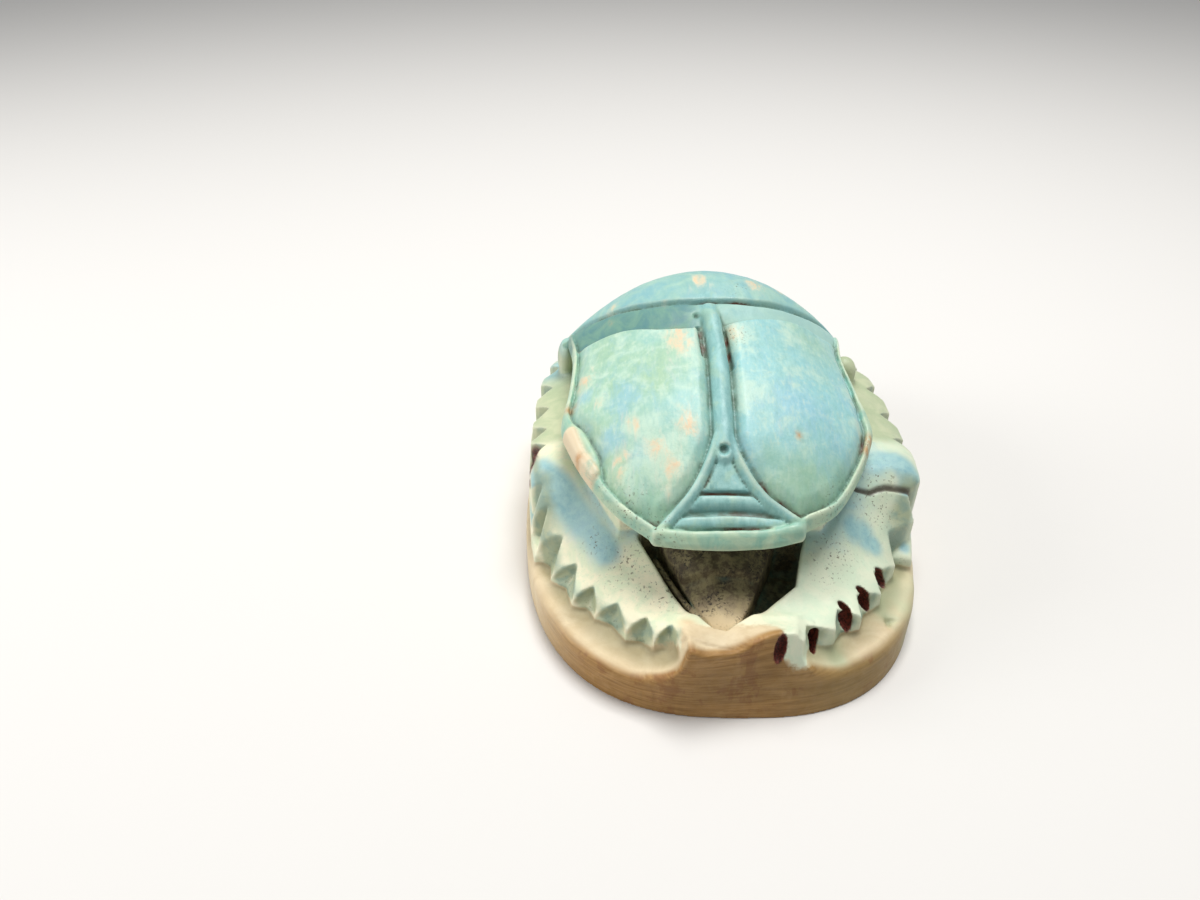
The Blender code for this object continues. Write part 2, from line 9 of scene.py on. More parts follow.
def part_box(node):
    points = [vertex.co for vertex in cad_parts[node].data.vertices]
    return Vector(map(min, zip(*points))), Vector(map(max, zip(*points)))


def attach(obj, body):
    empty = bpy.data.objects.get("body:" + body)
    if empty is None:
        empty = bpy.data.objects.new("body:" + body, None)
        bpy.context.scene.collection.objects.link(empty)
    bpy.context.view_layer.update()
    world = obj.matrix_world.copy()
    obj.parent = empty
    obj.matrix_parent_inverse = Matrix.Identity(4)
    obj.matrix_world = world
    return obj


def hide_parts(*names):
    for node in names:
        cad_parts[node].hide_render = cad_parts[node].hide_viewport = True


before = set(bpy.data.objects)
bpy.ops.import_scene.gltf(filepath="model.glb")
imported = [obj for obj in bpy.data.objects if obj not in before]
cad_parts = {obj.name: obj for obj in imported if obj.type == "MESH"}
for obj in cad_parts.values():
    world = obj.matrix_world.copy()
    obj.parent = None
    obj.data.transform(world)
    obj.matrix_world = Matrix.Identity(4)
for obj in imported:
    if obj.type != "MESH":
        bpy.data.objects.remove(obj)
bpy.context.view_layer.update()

# Lengths are in millimetres until a mesh is made, which is in metres.
MM = 0.001
CELL = 0.16
TRIANGLES = 195000

# The base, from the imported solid
LOW, HIGH = (np.array(corner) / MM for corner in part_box("scarab_amulet"))
BASE_HALF_WIDTH = (HIGH[0] - LOW[0]) / 2
BASE_HALF_LENGTH = (HIGH[1] - LOW[1]) / 2
BASE_SQUARENESS = 2.7
LEDGE_HEIGHT = 3.7
LEDGE_FILLET = 2.2
LEDGE_RISE = 0.3
LEDGE_RISE_AT_TAIL = 1.1
TAIL_LEAN = ((-10, 0), (-5, 0.03), (-0.8, 0.14), (3.5, 0.27), (10, 0.25), (16, 0.1), (20, 0.05))

# The legs, which ring the body
LEGS_HALF_WIDTH = 20.3
LEGS_HALF_LENGTH = 28.6
LEGS_SQUARENESS_BEHIND = 2.0
LEGS_SQUARENESS_IN_FRONT = 2.5
EDGE_ROUNDING = 1.8
EDGE_DROP = 1.6
SHARP_EDGE_DROP = 0.6
LEG_SLOPE_WIDTH = 7.5
KNEES = ((17.4, -7.8), (-17.4, -8.6))
KNEE_SPREAD = (3, 3.8)
KNEE_RISE = 0.9
KNEE_BULGE = 0.45
KNEE_BULGE_PLACE = -8.2
KNEE_BULGE_SPREAD = 4

# How far the legs' outer edge stands out of its oval, by degrees from the tail (left is negative)
LEG_REACH = (
    (-180, 0), (-85, 0), (-75, 0.1), (-71, 0.3), (-67, 1), (-63, 1.05), (-55.6, 1), (-46.8, 0.75),
    (-40.5, 0), (-31, -0.2), (-23, -0.35), (-14, -0.3), (0, -0.3), (12, -0.45), (17, -0.55), (29, -0.65),
    (36.5, -0.15), (47, -0.05), (57, 0), (62, 0.2), (67, 0.75), (70, 0.7), (76, 0.2), (85, 0), (180, 0),
)

# Notches round the hind legs: one tip, the deepest place and the next tip in degrees, then the depth
HIND_NOTCHES = (
    (-71.2, -69.3, -67.3, 1.1), (-67.3, -66, -63.2, 1.4), (-63.2, -59.8, -55.6, 1.8),
    (-55.6, -52.5, -46.8, 1.8), (-46.8, -45, -40.5, 1.5), (-40.5, -37, -30.8, 1.25),
    (-30.8, -27.7, -22.9, 1.25), (-22.9, -20.4, -14.5, 1.3),
    (16.8, 20.7, 27, 1.3), (28, 33.4, 36.8, 1.6), (36.8, 41.5, 47, 1.6),
    (47, 51, 56.9, 1.45), (57.5, 61.6, 66.7, 1.45), (67, 69, 72, 1.2),
)
# Notches along the sides, by their places on Y
LEFT_SIDE_NOTCHES = (-5.2, -1.8, 2.6, 7, 11.8, 16.5, 20.5)
RIGHT_SIDE_NOTCHES = (-3.5, 2, 7.4, 12.4, 17, 21)
SIDE_NOTCH_HALF_WIDTH = 1.45
SIDE_NOTCH_DEPTH = 1.7
NOTCH_CURVE = 0.9
SIDE_NOTCH_CURVE = 0.85
NOTCH_DEPTH_AT_LEDGE = 0.45
LEFT_NOTCH_SCALE = 1.25
RIGHT_NOTCH_SCALE = 1.1

# The back
BACK_CENTRE = -1.0
RIM_THICKNESS = 1.0
UNDERCUT_SLOPE = 0.75
CORE_SCALE = 0.91
LEFT_RIM_WIDTH = (
    (-22, 0.95), (-19, 0.85), (-15, 0.95), (-12, 1.9), (-9.5, 2), (-7, 1.3), (-5, 0.8), (10, 0.7),
)
RIGHT_RIM_WIDTH = (
    (-22, 0.95), (-19, 0.8), (-12, 0.7), (-9, 0.9), (-6.5, 1.3), (-4.5, 0.9), (0, 0.65), (10, 0.6),
)
RIM_RISE = 0.8
TAIL_BAR = ((-7.6, -20.45), (-4, -20.8), (2, -20.7), (5.6, -19.85))
TAIL_BAR_HALF_WIDTH = 0.62
RIM_SWELLING = ((-15.9, -9), (-15, -11.6), (-13.6, -13.9))
RIM_SWELLING_HALF_WIDTH = 1.0
GROUND_DEPTH = 0.45
PILLOW_HEIGHT = 0.95
PILLOW_SLOPE = 1.2
PRONOTUM_STEP = 0.65
CREASE_DEPTH = 0.6
CREASE_HALF_WIDTH = 0.22
PRONOTUM_EDGE = ((-16, 9.9), (-11.2, 7.5), (-6.1, 5.75), (-2.2, 5.1), (2.6, 5.6), (9.2, 7.7), (14, 10.2))
WING_FRONT = (
    (-16, 5.8), (-14.9, 5.2), (-11.2, 4.1), (-6.3, 1.95), (-3.3, 1.35), (-0.6, 1.5), (1.8, 2.5), (3.5, 3.3),
    (8.7, 5.3), (11.5, 5.8), (14, 6.6),
)
RIDGE_LINE = ((-1.35, 5.6), (-1.25, 2.5), (-0.95, -2.5), (-1.05, -8.3), (-1.1, -12.7), (-1.15, -14.2))
RIDGE_HALF_WIDTH = 1.08
RIDGE_HEIGHT = 1.3
RIDGE_DROP_AT_FRONT = 0.55
STRIP_HALF_WIDTH = 0.55
STRIP_HEIGHT = 0.95
LEFT_STRIP = ((-1.5, -12.2), (-2.3, -14.3), (-3.3, -16.2), (-4.35, -17.6), (-5.9, -19), (-7.6, -20.5))
RIGHT_STRIP = ((-0.7, -12.4), (0, -14.4), (1, -16.2), (2.5, -17.8), (4.3, -18.8), (5.9, -19.6))
RIB_CREST = -18.0
RIB_PITCH = 1.6
RIB_HEIGHT = 0.52

# The hollow under the tail
HOLLOW_FLOOR = 4.6
CORE_BACK_END = -15.6

# The head
HEAD_FRONT = 27.9
HEAD_FRONT_BOW = 0.5
HEAD_CROWN = 0.03
HEAD_TEETH = (-4.2, -1.4, 1.4, 4.2)
HEAD_TOOTH_HALF_WIDTH = 0.8
HEAD_TOOTH_DEPTH = 1.1
HEAD_CHANNEL = 1.3
HEAD_CHANNEL_FLOOR = 4.7
EYE_CENTRE = (7.6, 19.6, 12.3)
EYE_RADII = (1.5, 2.4, 1.3)
SHOULDERS = (((-16.8, 10.4, 14.7), (1.1, 1.7, 2.4)), ((15.6, 8.6, 14.2), (1.4, 1.5, 1.8)))

# Heights and half widths along the length, each pair a place on Y and a value
SPINE_HEIGHT = (
    (-24, 11.5), (-21.5, 13.5), (-20.6, 14.2), (-18, 16.1), (-14.3, 18.7), (-10, 20.9), (-6, 22.2),
    (-2, 23.2), (1.4, 24), (5.4, 24.8), (9.4, 25.4), (12.5, 24.7), (15, 22.5), (17.5, 19.2), (19.5, 15.6),
    (21.5, 12.5),
)
RIM_HEIGHT = (
    (-24, 13.6), (-21, 13.9), (-17, 14.7), (-13, 15.5), (-8, 16.7), (-3, 17.4), (5, 17.8), (9, 17.6),
    (12, 16.5), (15, 14.5), (18, 12.8), (21.5, 12),
)
BACK_HALF_WIDTH = (
    (-24, 5), (-21.5, 6.5), (-20, 8.3), (-17.3, 10.7), (-13.3, 13.4), (-9.8, 15.1), (-7, 15.6),
    (-2.5, 15.3), (4, 15), (8.9, 15.6), (11.5, 15.5), (15.4, 13.6), (18.4, 9.5), (19.8, 4.5), (21.5, 2),
)
RIM_OUTLINE = (
    (0, -21.5), (3.5, -21.3), (6.3, -20.8), (7.8, -19.9), (10.7, -17.3), (13.4, -13.3), (15.1, -9.8),
    (15.9, -7), (15.3, -2.5), (15, 4), (15.6, 8.9), (15.5, 11.5), (13.6, 15.4), (9.5, 18.4), (4.5, 19.8),
    (0, 20.2),
)
RIGHT_CORNER_SHIFT = (-0.3, 0.6)
LEG_OUTER_HEIGHT = (
    (-29.6, 8.4), (-26.6, 7.8), (-23.6, 6.8), (-20.6, 6.3), (-16.6, 6.3), (-14.1, 7), (-12.1, 8.2),
    (-10.3, 10.3), (-8.6, 12), (-4.6, 12.7), (-1.6, 12.5), (3, 12.4), (11, 12.4), (17, 11.4), (22, 9),
    (28, 6.6),
)
LEG_INNER_HEIGHT = (
    (-29.6, 7.3), (-26.6, 7.4), (-22.6, 7.9), (-18.6, 9), (-15.6, 10.2), (-12.6, 11.6), (-8.6, 13),
    (-4.6, 13.7), (0, 14.2), (10, 14.2), (17, 12.4), (22, 9.8), (28, 7),
)
HOLLOW_OUTLINE = (
    (-9.6, -12.6), (-8.9, -16.2), (-6.7, -19.9), (-4.6, -23.3), (-2.6, -26.2), (-1.2, -26.7), (1.2, -24.6),
    (3.6, -22.4), (5.9, -20.5), (6.7, -17.4), (8.4, -12.6),
)
HOLLOW_RIM_HEIGHT = ((-27, 7.4), (-22.6, 7.9), (-18.6, 9), (-15.6, 10.2), (-12.6, 11.6))
TONGUE_MIDDLE = -1.2
TONGUE_ENDS = (-27, -13.2)
TONGUE_CROWN = 0.08
TONGUE_HALF_WIDTH = ((-27.1, 0.3), (-25.6, 0.9), (-22.6, 2.6), (-18.6, 4.4), (-13, 7))
TONGUE_HEIGHT = (
    (-27.1, 6.2), (-25.6, 6.9), (-22.6, 8), (-20.6, 8.8), (-20.2, 9.6), (-16.6, 11), (-13, 12.2),
)
HEEL_CREST = ((-6.5, 8.7), (-5, 8.4), (-3, 7.6), (-1, 7.4), (1, 7.9), (3.5, 8.7), (6.5, 8.6))
HEEL_HALF_WIDTH = 6.0
HEEL_TAPER = 0.04
HEEL_FRONT = -24.5
FEET_INSET = 0.5
FEET_ENDS = (-13.8, 3)
FEET_INNER_SIDE = 0.82
FEET_HEIGHT = ((-15, 4.6), (-13.2, 5.4), (-9, 7), (-4, 9.5), (0, 10.5), (4, 10.5))
HEAD_HEIGHT = ((14, 16), (18, 14.8), (20.5, 13), (22.6, 11.2), (23.2, 10.2), (26, 8.8), (28.5, 7.4))
HEAD_OUTLINE = ((8.8, 15), (8.8, 18), (7.4, 21.5), (6.9, 24.5), (6, 27.9))

# Fine work: slots in the right-hand notches, each from its top to its bottom, a crack, dents, a pit,
# recesses beside the ridge and a strip inside the hollow
SLOTS = (
    ((3.6, -27.4, 8.4), (3.3, -28.2, 5.9)), ((6.9, -24.3, 6.7), (6.6, -25.8, 4.2)),
    ((10.2, -21.6, 6.7), (10.6, -22.8, 4.3)), ((12.4, -19.6, 6.7), (13.1, -20.1, 4.3)),
    ((14.8, -16.8, 6.5), (15.8, -16.8, 4.3)),
)
SLOT_HALF_WIDTH = 0.52
SLOT_DEPTH = 0.95
CRACK = (
    (11.5, -10.6), (13.1, -10.8), (14.6, -10.8), (15.4, -10.5), (16.3, -10.3), (18.4, -10.1), (20.5, -9.9),
)
CRACK_HALF_WIDTH = 0.25
CRACK_DEPTH = 0.4
DENTS = (
    ((-1.2, -14.3, 19.25), (0.5, 0.6, 0.45)),
    ((-2.75, 3.1, 24.2), (0.28, 0.32, 0.45)),
    ((15.3, -21.3, 3.9), (0.25, 0.6, 0.5)),
    ((15.7, -21, 3.9), (0.5, 0.2, 0.4)),
)
PIT = ((-20.1, -5.6, 10.6), (1.4, 1.7, 2.3))
RECESSES = (((-2.72, 1.4), (-2.45, -3)), ((-0.05, 0.6), (0.25, -4.6)))
RECESS_DEPTH = 0.45
RECESS_HALF_WIDTH = 0.3
V_STRIP_INSET = 0.6
V_STRIP_HALF_WIDTH = 0.27
V_STRIP_FRONT = -17.5
V_STRIP_RIGHT_END = 2.5
V_STRIP_DROP = 0.9
V_STRIP_MORE_DROP = 0.8

# Where the colour differs: places on the plan, each with a radius
WORN_PATCHES = (
    (-4.9, -0.9, 2.2), (-4.5, -11.6, 1.5), (-9.6, -10.6, 0.9), (-7.5, -13.3, 1.1), (-6.1, -15.3, 1.5),
    (-10.9, -14.3, 1.2), (-14.2, -2.4, 1.3), (-12.9, -7, 0.7), (6.1, -12.1, 0.4), (0.9, -0.5, 1.1),
    (-1.9, 8.8, 1.3), (4.2, 9.2, 1.2), (7.4, 10.5, 0.7), (-11.5, 8.6, 0.7), (-6.2, 5.4, 0.6),
    (-11.8, 6.4, 0.6),
)
PALE_PATCHES = (
    (1, -8, 1.8), (-0.2, -6.5, 0.9), (4.2, 9.2, 2.2), (-6.5, -14.6, 2.4), (-8.4, -11.5, 1.6),
    (0.9, -0.6, 2),
)
BLUE_PATCHES = (
    (-14.5, -5.3, 1.2), (-10.2, -7.4, 2.4), (-11.8, -11.5, 1.5), (-9, -13.9, 1.2), (6.4, -8.7, 3),
    (13.8, -5.3, 2.2), (10.2, -13, 2.4), (1.4, -15, 1.6), (-1.2, -6.5, 1.6), (-8, 9, 3.5), (2, 11, 3),
    (-12, 9.5, 2.5),
)
GREEN_PATCHES = (
    (-11.6, 3, 3.6), (-7.2, -5.8, 2.6), (-8.4, -17.1, 3), (6.8, -16.6, 3), (-13.4, -13.5, 2.5),
    (3, -20.5, 5), (-2, 3, 2), (9, 3, 2.5), (-15.5, 2, 2), (11.5, -14, 2),
)
LEAF_PATCHES = ((6.5, -17, 3.2), (10, -14.6, 2.4), (3, -14.5, 1.5), (-8.2, -18, 1.6))
OCHRE_SPOTS = (
    (-14.9, -12.1, 0.4), (13.5, -10.6, 0.7), (13.9, -9.2, 0.7), (-15.9, -5.4, 0.6), (6.1, -12.1, 0.35),
)
SKY_BANDS = (
    (((-19, -8.8), (-17.3, -10.3), (-15.5, -12.2), (-13.8, -14.3), (-12.1, -16.6)), 1.7),
    (((15.3, -8.4), (17, -7.8), (18.8, -8.5), (19.2, -9.8)), 1.6),
)
SKY_PATCHES = ((13.7, -14.2, 1.5), (14.8, -14.6, 1), (12.3, -14.2, 1.6), (-18, 11.5, 3), (18.8, -12.6, 0.7))
SPECKLED = (
    (15.7, -9.5, 1.4), (14.6, -11.2, 1.8), (16, -12, 1.2), (10.2, -16.8, 1.8), (9.1, -18.6, 1.5),
    (-13.4, -15.5, 1), (-10.3, -18.1, 1.8), (-7.8, -20.2, 1.6), (-6.6, -21.8, 1.2), (0.9, -0.4, 1.3),
    (2, 7.6, 1),
)
BROWN_LINES = (
    (-2.4, -17.2, 0.9), (-0.8, -17.1, 0.9), (2.7, -16.6, 0.8), (4, -17.7, 0.8), (5.2, -18.6, 0.8),
    (7.2, -18.9, 0.9), (8.7, -17.9, 0.9), (-7.9, -19.2, 0.7), (-2.6, 0.4, 0.8), (-2.5, -1.8, 1),
    (0.1, -0.6, 0.8), (0.1, -2.6, 1.2), (13.3, -10.2, 0.9), (1.8, 5.6, 1.4), (-1.5, 5, 1.2),
    (0.5, -20.1, 2.5),
)
PEACH_SPOTS = ((-4.7, -25.5, 0.9),)
STAINS = ((-7.2, -29, 2.2), (-9.5, -28.6, 1.6), (0.5, -29.4, 1.2))

# Streaks: their length over their width. Openness: how far round a point it is measured
STREAK_LENGTH = 1.6
TIGHT_OPENNESS = 0.45
WIDE_OPENNESS = 2.0
# How many times a zone is blurred
BLURRED_ZONES = {"rib_shade": 2, "lip": 2, "stone": 3}


# Curves and distances


def step(start, end, value):
    """Eases from 0 to 1 as a value goes from start to end."""
    part = np.clip((value - start) / (end - start), 0, 1)
    return part * part * (3 - 2 * part)


def joined(a, b, fillet):
    """The lower of two fields: both their forms, with a fillet where they meet."""
    near = np.maximum(fillet - np.abs(a - b), 0) / fillet
    return np.minimum(a, b) - near * near * fillet / 4


def common(a, b, rounding):
    """The higher of two fields: only what their forms share, with its edges rounded."""
    return -joined(-a, -b, rounding)


def along(knots, place):
    """The smooth curve through the knots, read at a place or an array of places."""
    at, value = np.array(knots, float).T
    rate = np.diff(value) / np.diff(at)
    slope = np.empty_like(value)
    same_way = rate[1:] * rate[:-1] > 0
    slope[1:-1] = np.where(same_way, 2 * rate[1:] * rate[:-1] / (rate[1:] + rate[:-1] + 1e-12), 0)
    slope[0], slope[-1] = rate[0], rate[-1]
    place = np.asarray(place, float)
    k = np.clip(np.searchsorted(at, place) - 1, 0, len(at) - 2)
    gap = at[k + 1] - at[k]
    t = np.clip((place - at[k]) / gap, 0, 1)
    start = (1 + 2 * t) * (1 - t) ** 2 * value[k] + t * (1 - t) ** 2 * gap * slope[k]
    return start + t * t * (3 - 2 * t) * value[k + 1] + t * t * (t - 1) * gap * slope[k + 1]


def spline(points, steps, closed=False):
    """A Catmull-Rom curve through the points."""
    p = np.array(points, float)
    if closed:
        p = np.vstack([p[-1:], p, p[:2]])
    else:
        p = np.vstack([2 * p[:1] - p[1:2], p, 2 * p[-1:] - p[-2:-1]])
    t = np.linspace(0, 1, steps, endpoint=False)[:, None]
    spans = []
    for a, b, c, d in zip(p[:-3], p[1:-2], p[2:-1], p[3:]):
        bend = 2 * a - 5 * b + 4 * c - d
        spans.append(b + t * (c - a) / 2 + t**2 * bend / 2 + t**3 * (3 * b - 3 * c + d - a) / 2)
    return np.vstack(spans) if closed else np.vstack(spans + [p[-2:-1]])


def distance_to(path, x, y):
    """How far each point is from a path of straight pieces."""
    path = np.asarray(path, float)
    least = np.full(np.shape(x), np.inf)
    for a, b in zip(path[:-1], path[1:]):
        run = b - a
        t = np.clip(((x - a[0]) * run[0] + (y - a[1]) * run[1]) / max(run @ run, 1e-12), 0, 1)
        least = np.minimum(least, (x - a[0] - t * run[0]) ** 2 + (y - a[1] - t * run[1]) ** 2)
    return np.sqrt(least)


def depth_inside(outline, x, y):
    """How far each point is inside a closed outline, and less than nothing outside it."""
    outline = np.asarray(outline, float)
    inside = np.zeros(np.shape(x), bool)
    for a, b in zip(outline, np.roll(outline, -1, axis=0)):
        if a[1] != b[1]:
            crossing = a[0] + (y - a[1]) * (b[0] - a[0]) / (b[1] - a[1])
            inside ^= ((a[1] > y) != (b[1] > y)) & (x < crossing)
    distance = distance_to(np.vstack([outline, outline[:1]]), x, y)
    return np.where(inside, distance, -distance)


def oval(half_width, half_length, squareness, count):
    """A superellipse. Its angle starts at the tail and goes round by the right side."""
    angle = np.radians(np.linspace(-180, 180, count, endpoint=False))
    s, c = np.sin(angle), np.cos(angle)
    x = half_width * np.sign(s) * np.abs(s) ** (2 / squareness)
    y = -half_length * np.sign(c) * np.abs(c) ** (2 / squareness)
    return np.stack([x, y], 1), np.degrees(angle)


def legs_outline(notched=False, count=1440):
    """The legs' outer edge, plain or with its notches."""
    behind, degrees = oval(LEGS_HALF_WIDTH, LEGS_HALF_LENGTH, LEGS_SQUARENESS_BEHIND, count)
    ahead, _ = oval(LEGS_HALF_WIDTH, LEGS_HALF_LENGTH, LEGS_SQUARENESS_IN_FRONT, count)
    edge = np.where(behind[:, 1:] < 0, behind, ahead)
    from_knee = (edge[:, 1] - KNEE_BULGE_PLACE) / KNEE_BULGE_SPREAD
    edge[:, 0] *= 1 + KNEE_BULGE / LEGS_HALF_WIDTH * np.exp(-(from_knee**2))
    along_edge = np.roll(edge, -1, axis=0) - np.roll(edge, 1, axis=0)
    length = np.linalg.norm(along_edge, axis=1)
    outward = np.stack([along_edge[:, 1], -along_edge[:, 0]], 1) / length[:, None]
    shift = along(LEG_REACH, degrees)
    if notched:
        shift = shift - notch_depths(degrees, np.cumsum(length / 2))
    return edge + shift[:, None] * outward


def notch_depths(degrees, travelled):
    """How deep the notches are at each place round the edge."""
    deep = np.zeros(len(degrees))
    for first, deepest, last, depth in HIND_NOTCHES:
        part = np.minimum((degrees - first) / (deepest - first), (last - degrees) / (last - deepest))
        depth = depth * (RIGHT_NOTCH_SCALE if first > 0 else LEFT_NOTCH_SCALE)
        deep = np.maximum(deep, depth * np.clip(part, 0, 1) ** NOTCH_CURVE)
    side = [-side_station(y) for y in LEFT_SIDE_NOTCHES] + [side_station(y) for y in RIGHT_SIDE_NOTCHES]
    for station in side:
        middle = travelled[np.argmin(np.abs(degrees - station))]
        part = np.clip(1 - np.abs(travelled - middle) / SIDE_NOTCH_HALF_WIDTH, 0, 1) ** SIDE_NOTCH_CURVE
        deep = np.maximum(deep, SIDE_NOTCH_DEPTH * part)
    return deep


def side_station(y):
    """The angle from the tail at which the legs' outer edge reaches a place on Y."""
    squareness = LEGS_SQUARENESS_IN_FRONT if y > 0 else LEGS_SQUARENESS_BEHIND
    part = (abs(y) / LEGS_HALF_LENGTH) ** (squareness / 2)
    return 90 + math.copysign(math.degrees(math.asin(part)), y)


def in_slot(x, y, z, top, bottom):
    """How far out each place is from the middle of a slot: 1 on its wall."""
    top, bottom = np.array(top), np.array(bottom)
    middle, half = (top + bottom) / 2, (top - bottom) / 2
    length = np.linalg.norm(half)
    out = np.array([middle[0] / LEGS_HALF_WIDTH**2, middle[1] / LEGS_HALF_LENGTH**2, 0])
    across = np.cross(half, out)
    across /= np.linalg.norm(across)
    inward = np.cross(half / length, across)
    total = 0
    for axis, reach in ((half / length, length * 1.1), (across, SLOT_HALF_WIDTH), (inward, SLOT_DEPTH)):
        part = (x - middle[0]) * axis[0] + (y - middle[1]) * axis[1] + (z - middle[2]) * axis[2]
        total = total + (part / reach) ** 2
    return np.sqrt(total)


def rib_wave(y, lag=0.0):
    """The ribs' rise and fall along Y, between -1 and 1."""
    place = (y - RIB_CREST) * math.tau / RIB_PITCH
    return np.cos(place - 0.5 * np.sin(place) - lag)


def rim_outline():
    """The edge of the back. Its tail corner on the right is a little shorter than the left one."""
    half = np.array(RIM_OUTLINE)
    points = np.vstack([half, (half * [-1, 1])[-2:0:-1]])
    corner = step(-17, -19.5, points[:, 1]) * step(1, 5, points[:, 0])
    points = points + np.outer(corner, RIGHT_CORNER_SHIFT)
    return spline(points, 8, closed=True) + [BACK_CENTRE, 0]


# The plan: what each place on it belongs to, and how high the surfaces are there


